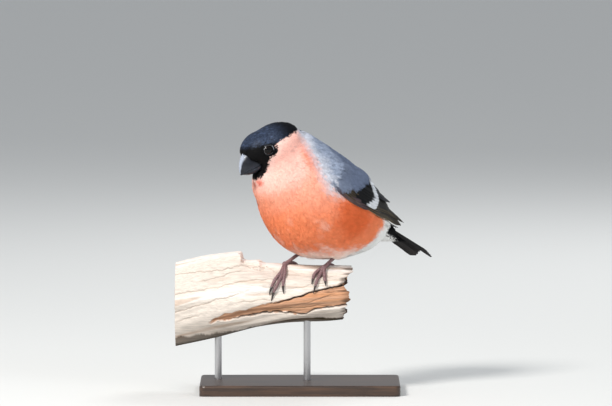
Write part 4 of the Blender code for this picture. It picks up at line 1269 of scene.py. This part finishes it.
def wing_feathers(draw):
    """The folded left wing from its under layers to its upper ones."""
    made = []

    def add(kind, index, start, end, half_width, **settings):
        made.append(feather(kind, index, wing_points, start, end, half_width, draw, **settings))

    tips = (
        (76.5, 0.7), (78.5, 1.1), (78.0, 1.6), (76.5, 2.1), (81.0, 4.2), (79.0, 4.9), (74.0, 5.6),
        (69.0, 6.2),
    )
    for j, (tip, high) in enumerate(tips):
        add("primary", j, (20.0, 2.2 + 1.0 * j, 0.15), (tip, high, 0.1), 1.8, blunt=0.12, outer=0.34)
    for j in range(6):
        start, end = (18.0, 9.0 + 1.6 * j, 0.35), (63.0 - 0.7 * j, 6.8 + 1.15 * j, 0.45)
        add("secondary", j, start, end, 2.3, blunt=0.12, outer=0.4)
    for j in range(3):
        start, end = (20.0, 15.5 + 1.7 * j, 0.1), (63.5 - 8.0 * j, 11.6 + 1.9 * j, 1.9)
        add("tertial", j, start, end, 2.9, blunt=0.22, outer=0.45)
    for j in range(5):
        start, end = (16.0, 2.2 + 1.1 * j, 0.8), (49.5 - 1.2 * j, 2.3 + 1.15 * j, 1.3)
        add("primary covert", j, start, end, 1.6, blunt=0.22, outer=0.4)
    for j in range(10):
        start = (17.0, 4.6 + 1.75 * min(j, 7), 0.5 if j < 6 else -0.2)
        end = (43.0 + 0.5 * min(j, 3) - 0.9 * max(j - 4, 0), 3.4 + 1.55 * j, 2.0)
        add("greater covert", j, start, end, 2.1, blunt=0.2, outer=0.45)
    for j in range(3):
        start, end = (12.0, 1.0 + 0.8 * j, 0.2), (36.0 - 4.0 * j, 1.3 + 0.8 * j, 1.5)
        add("thumb", j, start, end, 1.1, blunt=0.3, outer=0.4)
    for j in range(4):
        add("thumb", j + 3, (11.0 + 3.5 * j, 0.4, 0.0), (24.0 + 4.0 * j, 0.6, 0.9), 0.9, blunt=0.4)
    return made


def tail_feathers(draw):
    """The tail's long feathers, the outermost longest, and the short ones over their roots."""
    made = []

    def add(kind, index, start, end, half_width, **settings):
        made.append(feather(kind, index, tail_points, start, end, half_width, draw, **settings))

    for side in (1, -1):
        for j in range(6):
            start = (4.0, side * (0.9 + 0.6 * j), -2.0 - 0.32 * j)
            end = (TAIL_LENGTH - 1.6 + 0.45 * j, side * (1.6 + 1.05 * j), -2.0 - 0.32 * j)
            add("tail", j, start, end, 2.3, tilt=side * 0.1, blunt=0.07, outer=0.5)
        for j in range(4):
            start = (1.0, side * (0.9 + 1.7 * j), -0.4 - 0.3 * j)
            end = (19.0 - 2.0 * j, side * (1.6 + 1.8 * j), 0.4 - 0.4 * j)
            add("uppertail", j, start, end, 2.2, tilt=side * 0.1, blunt=0.3)
    return made


# Bill and eyes

def make_bill(upper):
    """One half of the bill, closed on the mouth's side."""
    stations = [station for station in BILL if upper or station[4] is not None]
    if not upper:
        stations = [(*station[:4], station[4]) for station in stations]
        stations.append((23.5, -1.5, -4.5, 1.7, -4.9))
    # closer together towards the tip, where the outline turns
    places = stations[0][0] + (stations[-1][0] - stations[0][0]) * np.sin(np.linspace(0, math.pi / 2, 30))
    values = smooth_between(stations, places)
    rings = []
    for place, (ridge, edge, half_width, underside) in zip(places, values):
        reach = ridge - edge if upper else edge - underside
        base = edge + (0.12 if upper else -0.12)
        ring = []
        for k in range(25):
            turn = math.pi * k / 24
            out = max(math.sin(turn), 0.0)
            across = math.cos(turn) * half_width
            # a fine ridge along the culmen, and edges that close a little inwards
            rise = out**0.8 + (0.035 * math.exp(-((turn - math.pi / 2) / 0.16) ** 2) if upper else 0.0)
            height = base + (1 if upper else -1) * (reach - 0.12) * rise
            ring.append(HEAD @ (Vector((place, across, height)) * MM))
        for k in range(1, 8):
            # the palate side, a little hollow
            share = k / 8
            across = half_width * (-1 + 2 * share)
            hollow = 0.4 * math.sin(math.pi * share) * (1 if upper else -1)
            ring.append(HEAD @ (Vector((place, across, base + hollow)) * MM))
        rings.append(ring)
    bm = bmesh.new()
    add_rings(bm, rings)
    return mesh_of(bm, "bill_half", sharp=55.0)


def bill_material():
    material, nodes, links, shader = new_material("bill horn", (0.06, 0.065, 0.075), 0.34, Coat_Weight=0.08)
    shader.inputs["Specular IOR Level"].default_value = 0.3
    own = node(nodes, "ShaderNodeAttribute", attribute_name="horn")
    # the pale end of the ramp is the painted highlight along the ridge
    tones = ramp(nodes, (0.0, linear(12, 13, 18)), (0.3, linear(34, 38, 49)), (0.9, linear(166, 174, 190)))
    links.new(own.outputs["Fac"], tones.inputs["Fac"])
    with_grain(nodes, links, shader, tones.outputs["Color"], 700.0, 0.25, 0.05)
    return material


def paint_bill(mesh, upper):
    """Dark horn; on the upper half a little paler at the cutting edge, with a painted highlight high on the
    sides towards the ridge.
    """
    head = out_of_world(HEAD, places_of(mesh))
    if upper:
        edge, ridge = from_table(head[:, 0], BILL, 2), from_table(head[:, 0], BILL, 1)
        up = (head[:, 2] - edge) / np.maximum(ridge - edge, 0.5)
        # the pale band high on the sides towards the ridge is a painted highlight
        value = 0.16 + 0.7 * ease(up, 0.72, 0.99) + 0.12 * ease(-up, -0.22, -0.02)
    else:
        value = 0.22
    mark(mesh, "horn", np.clip(value + 0.08 * cloud(head, 1.5, 8), 0, 1))


def make_eye(side):
    """The ball of an eye, marked by how far each place on it faces out."""
    bm = bmesh.new()
    centre = Vector((EYE_CENTRE[0], side * EYE_CENTRE[1], EYE_CENTRE[2])) * MM
    look = Vector((LID_LEAN, side * 1.0, 0.0)).normalized()
    turn = Vector((0, 0, 1)).rotation_difference(look).to_matrix().to_4x4()
    place = HEAD @ Matrix.Translation(centre) @ turn
    bmesh.ops.create_uvsphere(bm, u_segments=48, v_segments=32, radius=EYE_RADIUS * MM, matrix=place)
    mesh = mesh_of(bm, "eye")
    local = places_of(mesh) - np.array(HEAD @ centre)
    facing_out = local @ np.array((HEAD.to_3x3() @ look)[:]) / (EYE_RADIUS * MM)
    mark(mesh, "iris", np.clip(facing_out, 0, 1))
    return mesh


def eye_material():
    material, nodes, links, shader = new_material("eye", (0.01, 0.006, 0.004), 0.05)
    shader.inputs["Specular IOR Level"].default_value = 0.22
    own = node(nodes, "ShaderNodeAttribute", attribute_name="iris")
    tones = ramp(
        nodes, (0.0, linear(5, 4, 4)), (0.72, linear(14, 9, 7)), (0.86, linear(20, 12, 9)),
        (0.885, linear(3, 3, 3)), (1.0, linear(2, 2, 3)),
    )
    links.new(own.outputs["Fac"], tones.inputs["Fac"])
    with_grain(nodes, links, shader, tones.outputs["Color"], 2400.0, 0.3, 0.0)
    return material


def make_lids():
    """Bare, beaded skin round each eye: a pale broken ring, and a darker one outside it."""
    bm = bmesh.new()
    layer = bm.verts.layers.float.new("bead")
    draw = random.Random(3)
    beads, sides = 72, 8
    lids = ((2.62, 0.24, LID_OUT + 0.2, 1.0), (3.02, 0.30, LID_OUT - 0.1, 0.25))
    for side in (1, -1):
        for radius, thick, out, pale in lids:
            rings = []
            for k in range(beads):
                turn = 2 * math.pi * k / beads
                bead = draw.uniform(0.0, 0.6) + 0.4 * (k % 2)
                gap = 0.35 + 0.65 * (math.sin(2 * turn + 0.9) > -0.3) * (math.sin(5 * turn) > -0.85)
                size = thick * (0.62 + 0.4 * bead + draw.uniform(-0.08, 0.08))
                ring = []
                for j in range(sides):
                    tilt = 2 * math.pi * j / sides
                    reach = radius + size * math.cos(tilt)
                    x = EYE_CENTRE[0] + reach * math.cos(turn) * 1.03
                    z = EYE_CENTRE[2] + reach * math.sin(turn) * 0.95
                    y = side * (out + size * math.sin(tilt) - LID_LEAN * (x - EYE_CENTRE[0]))
                    vert = bm.verts.new(HEAD @ (Vector((x, y, z)) * MM))
                    vert[layer] = pale * gap * (0.25 + 0.75 * bead)
                    ring.append(vert)
                rings.append(ring)
            for near, far in zip(rings, rings[1:] + rings[:1]):
                for j in range(sides):
                    after = (j + 1) % sides
                    bm.faces.new((near[j], near[after], far[after], far[j]))
    bmesh.ops.recalc_face_normals(bm, faces=bm.faces)
    return mesh_of(bm, "lids", sharp=80.0)


def lid_material():
    material, nodes, links, shader = new_material("lid skin", (0.05, 0.05, 0.055), 0.5)
    own = node(nodes, "ShaderNodeAttribute", attribute_name="bead")
    tones = ramp(nodes, (0.1, linear(12, 12, 15)), (0.5, linear(84, 86, 92)), (1.0, linear(188, 190, 196)))
    links.new(own.outputs["Fac"], tones.inputs["Fac"])
    with_grain(nodes, links, shader, tones.outputs["Color"], 2600.0, 0.3, 0.03)
    return material


# Legs

def route_of(points, steps):
    """A smooth route through points with so many steps from one to the next."""
    stations = [(float(k), *point) for k, point in enumerate(points)]
    count = (len(points) - 1) * steps
    return smooth_between(stations, np.arange(count + 1) / steps)


def toe_points(side, index):
    """Where a toe passes over the branch, with its radius there; the fourth is the hind toe."""
    foot = LEG_TUBES[side][-1]
    points = [(*foot, TOE_RADII[0])]
    if index < 3:
        for (x, height), radius in zip(TOES[side][index], TOE_RADII):
            _, z, half_height, _ = smooth_between(BRANCH, x)[0]
            reach = max(-1.0, min(1.0, (height - z) / (half_height + radius)))
            angle = 180.0 - math.degrees(math.asin(reach))
            points.append((*branch_points(np.array([x]), angle, 0.55 * radius)[0], radius))
    else:
        for (x, angle), radius in zip(HIND_TOES[side], TOE_RADII):
            points.append((*branch_points(np.array([x]), angle, 0.55 * radius)[0], radius))
    return points


def from_branch(spot):
    """The way out of the branch at a place on it."""
    return spot - branch_middle(spot[0])


def add_scutes(bm, route, radii, outward, step, start, stop):
    """Overlapping plates along the front of a limb."""
    lengths = np.concatenate([[0], np.cumsum(np.linalg.norm(np.diff(route, axis=0), axis=1))])
    place = start
    while place < min(stop, lengths[-1]):
        spot = np.array([np.interp(place, lengths, route[:, k]) for k in range(3)])
        ahead = np.array([np.interp(place + 0.3, lengths, route[:, k]) for k in range(3)]) - spot
        if np.linalg.norm(ahead) < 1e-6:
            break
        ahead = Vector(ahead).normalized()
        radius = float(np.interp(place, lengths, radii))
        out = Vector(outward(spot))
        out = (out - out.dot(ahead) * ahead).normalized()
        side = ahead.cross(out)
        turn = Matrix((ahead, side, out)).transposed().to_4x4()
        tip = Matrix.Rotation(math.radians(9), 4, "Y")
        centre = (Vector(spot) + out * radius * 0.5) * MM
        size = Matrix.Diagonal((step * 0.66, radius * 0.93, radius * 0.62, 1.0))
        matrix = Matrix.Translation(centre) @ turn @ tip @ Matrix.Scale(MM, 4) @ size
        bmesh.ops.create_uvsphere(bm, u_segments=12, v_segments=8, radius=1.0, matrix=matrix)
        place += step


def make_leg(side):
    """Shank and toes with their plates, as one skin, and the claws apart."""
    leg, claws = bmesh.new(), bmesh.new()
    bone = 8
    shank = route_of(LEG_TUBES[side], bone)
    radii = from_table(np.linspace(0, 1, len(shank)), SHANK_RADII)
    add_to(leg, tube(shank * MM, radii * MM, sides=14))
    front = Vector((-0.45, -0.9, 0.15))
    add_scutes(leg, shank, radii, lambda spot: front, 1.25, 11.5, 26.0)
    knuckle = Matrix.Translation(Vector(LEG_TUBES[side][-1]) * MM)
    bmesh.ops.create_uvsphere(leg, u_segments=16, v_segments=12, radius=1.6 * MM, matrix=knuckle)
    for index in range(4):
        points = toe_points(side, index)
        route = route_of(points, bone)
        split = 3 * bone
        toe, radius = route[:split + 1, :3], route[:split + 1, 3] * 0.86
        bulge = 1 + 0.10 * np.sin(np.linspace(0, 3 * 2 * math.pi, len(toe)))
        add_to(leg, tube(toe * MM, radius * bulge * MM, sides=12))
        add_scutes(leg, toe, radius, from_branch, 1.15, 1.0, 60.0)
        claw = route[split - 1:, :3].copy()
        shares = np.linspace(0, 1, len(claw))
        for k, share in enumerate(shares):
            out = Vector(from_branch(claw[k])).normalized()
            claw[k] += np.array(out) * 0.35 * math.sin(math.pi * share)
        add_to(claws, tube(claw * MM, (0.66 * (1 - shares) ** 0.7 + 0.09) * MM, sides=12))
    return mesh_of(leg, "leg_" + side, sharp=60.0), mesh_of(claws, "claws_" + side, sharp=60.0)


def leg_material():
    material, nodes, links, shader = new_material("leg scales", (0.13, 0.075, 0.06), 0.5)
    place = nodes.new("ShaderNodeTexCoord")
    cells = node(nodes, "ShaderNodeTexVoronoi", feature="DISTANCE_TO_EDGE", Scale=2300.0)
    links.new(place.outputs["Object"], cells.inputs["Vector"])
    tones = ramp(nodes, (0.0, linear(72, 50, 52)), (0.1, linear(128, 98, 100)), (0.5, linear(168, 138, 142)))
    links.new(cells.outputs["Distance"], tones.inputs["Fac"])
    with_grain(nodes, links, shader, tones.outputs["Color"], 420.0, 0.4, 0.0)
    add_bump(nodes, links, shader, cells.outputs["Distance"], 0.5, 0.08)
    return material


def claw_material():
    material, nodes, links, shader = new_material("claw horn", (0.03, 0.022, 0.02), 0.3, Coat_Weight=0.3)
    with_grain(nodes, links, shader, linear(46, 36, 33), 900.0, 0.4, 0.03)
    return material


# Perch

def ragged(x, seed, size):
    """A small uneven wander along the branch."""
    return size * (cloud(x[:, None], 4.0, seed) + 0.4 * cloud(x[:, None], 1.2, seed + 1))


def line_at(line, x):
    """The angle at which a line on the branch passes places along it."""
    return smooth_between(line, np.clip(x, line[0][0], line[-1][0]))[:, 0]


def crack_dip(x, angle, line, wide, deep, fade_in, fade_out):
    """How far a crack sinks the wood at places x and angles, in millimetres."""
    middle = line_at(line, x) + ragged(x, int(line[0][1]) + 300, 0.9)
    gap = np.abs((angle - middle + 180) % 360 - 180) * math.pi / 180 * 16.0
    strength = ease(x, *fade_in) * (1 - ease(x, *fade_out) if fade_out else 1)
    width = wide * (0.6 + 0.7 * strength + 0.25 * np.sin(x * 0.9))
    return deep * strength * np.exp(-((gap / np.maximum(width, 0.1)) ** 2))


def heart_share(x, angle):
    """1 where the heartwood lies bare and 0 elsewhere."""
    top = line_at(HEART_TOP, x) + ragged(x, 81, 1.2)
    base = line_at(HEART_BASE, x) + ragged(x, 82, 1.6)
    return ease(angle - top, -0.8, 0.8) * ease(base - angle, -0.8, 0.8) * ease(x, -52.5, -48.0)


def grain_noise(x, arc, stretch, size, seed):
    places = np.stack([x / stretch, np.cos(arc) * 16, np.sin(arc) * 16], axis=1)
    return cloud(places, size, seed)


FINE_CRACKS = 26
PERCH_START, PERCH_END = -70.0, 25.6
SAWN_SHARE, TORN_SHARE = 0.06, 0.90  # where along its grid the two ends begin and close


def cracks_at(x, angle):
    """How far the wood sinks in the main crack, in the one below the heartwood and in the thin ones."""
    main = crack_dip(x, angle, CRACK, 0.36, 2.0, (-24.0, 0.0), None)
    lower = crack_dip(x, angle, HEART_BASE, 0.34, 1.2, (-54.0, -20.0), None)
    hair = np.zeros(len(x))
    for line in LONG_LINES:
        first, last = line[0][0], line[-1][0]
        hair += crack_dip(x, angle, line, 0.24, 0.4, (first, first + 6.0), (last - 6.0, last))
    draw = random.Random(17)
    for _ in range(FINE_CRACKS):
        first = draw.uniform(-74, 14)
        length = draw.uniform(9, 38)
        where = draw.choice((draw.uniform(20, 380), draw.uniform(165, 215)))
        after = where + draw.uniform(-0.35, 0.0) * length
        line = (first - 1, where), (first + length / 2, (where + after) / 2), (first + length + 1, after)
        fades = (first, first + length * 0.3), (first + length * 0.7, first + length)
        hair += crack_dip(x, angle, line, 0.22, draw.uniform(0.2, 0.5), *fades)
    return main, lower, hair


def close_sawn_end(points, u):
    """Draws the first rows of the grid in over the saw cut, and tells which they are."""
    sawn, middle = u < SAWN_SHARE, branch_middle(PERCH_START)
    inward = np.clip(u / SAWN_SHARE, 0, 1)
    points[sawn] = middle + (points[sawn] - middle) * (inward[sawn, None] ** 0.8)
    rings = 0.10 * np.sin(inward * 60) + 0.05 * cloud(points[:, 1:], 1.2, 31)
    points[sawn, 0] = PERCH_START + rings[sawn]
    return sawn


def close_torn_end(points, u):
    """Draws the last rows in over a rough face of fibres, and tells which they are and how far in."""
    torn, middle = u > TORN_SHARE, branch_middle(PERCH_END)
    depth = np.clip((u - TORN_SHARE) / (1 - TORN_SHARE), 0, 1)
    share = 1 - depth[torn]
    rim = points[torn, 0]
    points[torn] = middle + (points[torn] - middle) * share[:, None]
    fibres = 0.6 * cloud(points[torn, 1:], 0.9, 41) + 1.7 * cloud(points[torn, 1:], 3.4, 42)
    fibres = fibres * np.minimum(depth[torn] * 5, 1) - 1.4 * ease(depth[torn], 0.0, 0.25)
    points[torn, 0] = rim * share + (PERCH_END - 2.6) * (1 - share) + fibres
    return torn, depth


def make_perch():
    """The cut length of branch: ridged grain, long cracks, a sawn end and a broken one."""
    bm = bmesh.new()
    bmesh.ops.create_grid(bm, x_segments=248, y_segments=392, size=0.5)
    bm.verts.ensure_lookup_table()
    flat = np.array([vert.co[:2] for vert in bm.verts]) + 0.5
    u, v = flat[:, 0], flat[:, 1]
    angle = v * 360.0 + 20.0
    turn = np.radians(angle)
    x = PERCH_START + (PERCH_END - PERCH_START) * np.clip((u - SAWN_SHARE) / (TORN_SHARE - SAWN_SHARE), 0, 1)
    # the same slow ridges as the solid has
    draw = random.Random(11)
    waves = [(draw.uniform(0.02, 0.1), draw.randint(2, 9), draw.uniform(0, 6.3)) for _ in range(6)]
    ridge = sum(np.sin(f * x + n * turn + s) for f, n, s in waves) * 0.28
    coarse = grain_noise(x, turn, 9.0, 2.6, 21)
    fine = grain_noise(x, turn, 14.0, 1.0, 22)
    relief = 0.22 * coarse + 0.13 * fine
    main, lower, hair = cracks_at(x, angle)
    # the layers broken off the top, as far as an uneven edge on the near side
    edge = 128.0 + ragged(x, 71, 5.0)
    layers = from_table(x + ragged(turn * 14.0, 72, 0.9), STEPS)
    layers *= ease(angle, 30.0, 62.0) * (1 - ease(angle - edge, 0.0, 3.0))
    heart = heart_share(x, angle) * (0.5 + 0.35 * coarse + 0.2 * fine)
    points = branch_points(x, angle, ridge + relief + layers - main - lower - hair - heart)
    broken = smooth_between(BROKEN_EDGE, (angle % 360))[:, 0]
    ring = np.stack([np.cos(turn), np.sin(turn)], axis=1) * 14.0
    splinter = 1.3 * cloud(ring, 3.2, 45) + 0.9 * cloud(ring, 1.1, 46)
    last = np.clip((x - 16.0) / (PERCH_END - 16.0), 0, 1) ** 2
    points[:, 0] += (broken - PERCH_END + 0.8 * splinter) * last
    sawn = close_sawn_end(points, u)
    torn, depth = close_torn_end(points, u)
    for vert, point in zip(bm.verts, points * MM):
        vert.co = point
    bmesh.ops.remove_doubles(bm, verts=bm.verts, dist=2e-5)
    bmesh.ops.recalc_face_normals(bm, faces=bm.faces)
    mesh = mesh_of(bm, "perch", sharp=70.0)
    colour = wood_colour(points, x, angle % 360, main, lower, hair, relief, sawn, torn, depth)
    paint(mesh, "wood", colour[nearest(points, places_of(mesh) / MM)])
    return mesh


def wood_colour(points, x, angle, main, lower, hair, relief, sawn, torn, depth):
    """Colours by how deep the wood lies in a crack, the bared heartwood, the painted shade on the underside
    and the ends.
    """
    turn = np.radians(angle)
    cream, pale = linear(238, 226, 214), linear(248, 243, 238)
    tan, heart, dark = linear(198, 164, 136), linear(208, 150, 110), linear(50, 32, 22)
    underside_shade, grey = linear(64, 52, 34), linear(196, 188, 180)
    streak = grain_noise(x, turn, 16.0, 1.6, 51)
    broad = grain_noise(x, turn, 12.0, 6.0, 52)
    colour = mixed(cream, pale, ease(broad, -0.4, 0.8))
    colour = mixed(colour, tan, 0.55 * ease(streak + 0.5 * broad, 0.35, 1.1))
    colour = mixed(colour, grey, 0.35 * ease(-broad, 0.2, 1.0))
    bared = heart_share(x, angle) * (0.85 + 0.15 * ease(streak, -0.5, 0.8))
    colour = mixed(colour, heart, bared)
    colour = mixed(colour, tan, 0.5 * bared * ease(broad + streak, 0.3, 1.2))
    colour = mixed(colour, heart * 0.45, 0.8 * bared * ease(-streak, 0.45, 0.9))
    # painted shade on the underside, below an uneven line along the branch
    shade_line = smooth_between(UNDERSIDE, x)[:, 0] + ragged(x, 91, 2.5)
    below = ease(angle - shade_line, -2.0, 4.0) * (1 - ease(angle, 312.0, 340.0))
    colour = mixed(colour, underside_shade, below * (0.75 + 0.25 * ease(streak, -0.5, 0.8)))
    colour = mixed(colour, heart * 0.6, 0.5 * below * ease(broad, 0.3, 1.0))
    colour = mixed(colour, grey, (1 - ease(angle, 60.0, 88.0)) * 0.35 + ease(angle, 320.0, 350.0) * 0.35)
    sunk = ease(main, 0.3, 1.2) + 0.8 * ease(lower, 0.3, 0.9) + 0.55 * ease(hair, 0.15, 0.6)
    colour = mixed(colour, tan * 0.8, ease(main + lower + hair, 0.12, 0.45) * 0.4)
    colour = mixed(colour, dark, np.clip(sunk, 0, 0.95))
    colour = mixed(colour, tan * 0.8, 0.3 * ease(-relief, 0.12, 0.4))
    end_dark = ease(x + 1.5 * streak, 22.0, 25.5) * (0.35 + 0.5 * ease(streak, -0.3, 0.7))
    colour = mixed(colour, dark, end_dark * 0.9)
    rough = cloud(np.stack([points[:, 1], points[:, 2]], 1), 1.3, 61)
    rough = rough + cloud(np.stack([points[:, 1], points[:, 2]], 1), 4.0, 62)
    torn_tone = mixed(dark, heart * 0.7, ease(rough, -0.3, 1.6))
    colour[torn] = mixed(colour, torn_tone, ease(depth, 0.0, 0.08))[torn]
    _, y, z = branch_middle(PERCH_START)
    radius = np.hypot(points[:, 1] - y, points[:, 2] - z)
    rings = 0.5 + 0.5 * np.sin(radius * 1.5 + 0.15 * np.sin(turn * 3))
    saw = mixed(linear(214, 184, 146), linear(178, 138, 98), rings * 0.45)
    saw = mixed(saw, linear(140, 104, 74), ease(radius, 20.0, 22.0) * 0.5)
    colour[sawn] = saw[sawn]
    return np.column_stack([np.clip(colour, 0, 1), np.ones(len(x))])


def perch_material():
    material, nodes, links, shader = new_material("bleached wood", (0.6, 0.5, 0.4), 0.82)
    shader.inputs["Specular IOR Level"].default_value = 0.3
    own = node(nodes, "ShaderNodeAttribute", attribute_name="wood")
    fibre = node(nodes, "ShaderNodeTexNoise", Scale=1500.0, Detail=5.0, Roughness=0.65)
    links.new(drawn_out(nodes, links, (0.09, 1.0, 1.0), 7), fibre.inputs["Vector"])
    shade = node(nodes, "ShaderNodeMapRange", From_Min=0.3, From_Max=0.7, To_Min=0.7, To_Max=1.1)
    links.new(fibre.outputs["Fac"], shade.inputs["Value"])
    colour = scale_colour(nodes, links, own.outputs["Color"], shade.outputs["Result"])
    links.new(colour, shader.inputs["Base Color"])
    add_bump(nodes, links, shader, fibre.outputs["Fac"], 0.8, 0.28)
    return material


# Stand

def base_material():
    material, nodes, links, shader = new_material("stained wood", (0.04, 0.03, 0.025), 0.4, Coat_Weight=0.25)
    shader.inputs["Coat Roughness"].default_value = 0.3
    grain = node(nodes, "ShaderNodeTexNoise", Scale=420.0, Detail=6.0, Roughness=0.6, Distortion=0.3)
    links.new(drawn_out(nodes, links, (0.06, 1.0, 1.0)), grain.inputs["Vector"])
    tones = ramp(nodes, (0.3, linear(34, 25, 20)), (0.52, linear(62, 45, 35)), (0.72, linear(88, 64, 48)))
    links.new(grain.outputs["Fac"], tones.inputs["Fac"])
    links.new(tones.outputs["Color"], shader.inputs["Base Color"])
    add_bump(nodes, links, shader, grain.outputs["Fac"], 0.4, 0.08)
    return material


def rod_material():
    material, nodes, links, shader = new_material("brushed steel", (0.56, 0.56, 0.57), 0.3, Metallic=1.0)
    lines = node(nodes, "ShaderNodeTexNoise", Scale=3000.0, Detail=3.0)
    links.new(drawn_out(nodes, links, (1.0, 1.0, 0.03)), lines.inputs["Vector"])
    set_roughness(nodes, links, shader, lines.outputs["Fac"], 0.2, 0.45)
    add_bump(nodes, links, shader, lines.outputs["Fac"], 0.25, 0.02)
    return material


# Camera, floor and lights

def set_camera():
    distance, width, rise = 3.2, 0.343, math.radians(4)
    data = bpy.data.cameras.new("camera")
    data.lens = 36 * distance / width
    data.clip_start, data.clip_end = 0.1, 60.0
    camera = bpy.data.objects.new("camera", data)
    aim = Vector((3.4, 0.0, 105.8)) * MM
    camera.location = aim + Vector((0.0, -math.cos(rise), math.sin(rise))) * distance
    camera.rotation_euler = (math.radians(90) - rise, 0.0, 0.0)
    bpy.context.scene.collection.objects.link(camera)
    bpy.context.scene.camera = camera


def set_floor():
    bm = bmesh.new()
    bmesh.ops.create_grid(bm, x_segments=4, y_segments=4, size=20.0)
    floor = bpy.data.objects.new("floor", mesh_of(bm, "floor"))
    bpy.context.scene.collection.objects.link(floor)
    floor.data.materials.append(new_material("pale floor", (0.74, 0.75, 0.74), 0.9)[0])


def add_light(name, place, size, power, colour=(1.0, 1.0, 1.0)):
    data = bpy.data.lights.new(name, "AREA")
    data.shape = "DISK"
    data.size = size
    data.energy = power
    data.color = colour
    light = bpy.data.objects.new(name, data)
    light.location = place
    aim = Vector((0.0, 0.0, 0.09)) - Vector(place)
    light.rotation_euler = aim.to_track_quat("-Z", "Y").to_euler()
    light.visible_glossy = name == "key light"
    bpy.context.scene.collection.objects.link(light)


def set_light():
    world = bpy.data.worlds.new("studio")
    world.use_nodes = True
    world.node_tree.nodes["Background"].inputs["Color"].default_value = (0.93, 0.96, 1.0, 1.0)
    world.node_tree.nodes["Background"].inputs["Strength"].default_value = 0.5
    bpy.context.scene.world = world
    add_light("key light", (-0.8, -1.0, 1.1), 0.42, 26.0, (1.0, 0.97, 0.93))
    add_light("fill light", (1.1, -1.0, 0.5), 0.8, 5.0, (0.95, 0.98, 1.0))
    add_light("back light", (0.5, 1.1, 1.1), 0.5, 7.0)
    bpy.context.scene.view_settings.view_transform = "Standard"


# The whole

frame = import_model()
set_camera()
set_floor()
set_light()

coat_material = plumage_material("small feathers", 1400.0)
skin_material = plumage_material("under the feathers", 700.0)
flight_material = vane_material()

skin = show("skin", make_skin(), skin_material, ("head", "neck", "torso"))
skin_tree = BVHTree.FromPolygons(
    [vert.co[:] for vert in skin.data.vertices], [face.vertices[:] for face in skin.data.polygons]
)
grow_coat(skin.data, coat_material)
grow_bristles("coat_head_bristles", coat_material, 160)
for number, (name, side) in enumerate((("left", 1), ("right", -1))):
    grow_wing_front("coat_wing_" + name, side, coat_material, 170 + number)

draw = random.Random(5)
wing = wing_feathers(draw)
grow_vanes("wing_left_feathers", wing, False, flight_material, ("wing_left",))
grow_vanes("wing_right_feathers", wing, True, flight_material, ("wing_right",))
grow_vanes("tail_feathers", tail_feathers(draw), False, flight_material, ("tail",))

horn = bill_material()
for name, upper in (("upper", True), ("lower", False)):
    half = make_bill(upper)
    paint_bill(half, upper)
    show(f"bill_{name}_horn", half, horn, ("bill_" + name,))
wet = eye_material()
for name, side in (("left", 1), ("right", -1)):
    show(f"eye_{name}_ball", make_eye(side), wet, ("eye_" + name,))
show("lids", make_lids(), lid_material())

scales = leg_material()
claw_horn = claw_material()
for side in ("left", "right"):
    leg, claws = make_leg(side)
    show(f"leg_{side}_scales", leg, scales, ("leg_" + side,))
    show(f"claws_{side}", claws, claw_horn)

show("perch_wood", make_perch(), perch_material(), ("perch",))
steel = rod_material()
stand_materials = {"stand_base": base_material(), "stand_rod_left": steel, "stand_rod_right": steel}
for name, material in stand_materials.items():
    node_materials = frame["nodes"][name].data.materials
    node_materials.clear()
    node_materials.append(material)
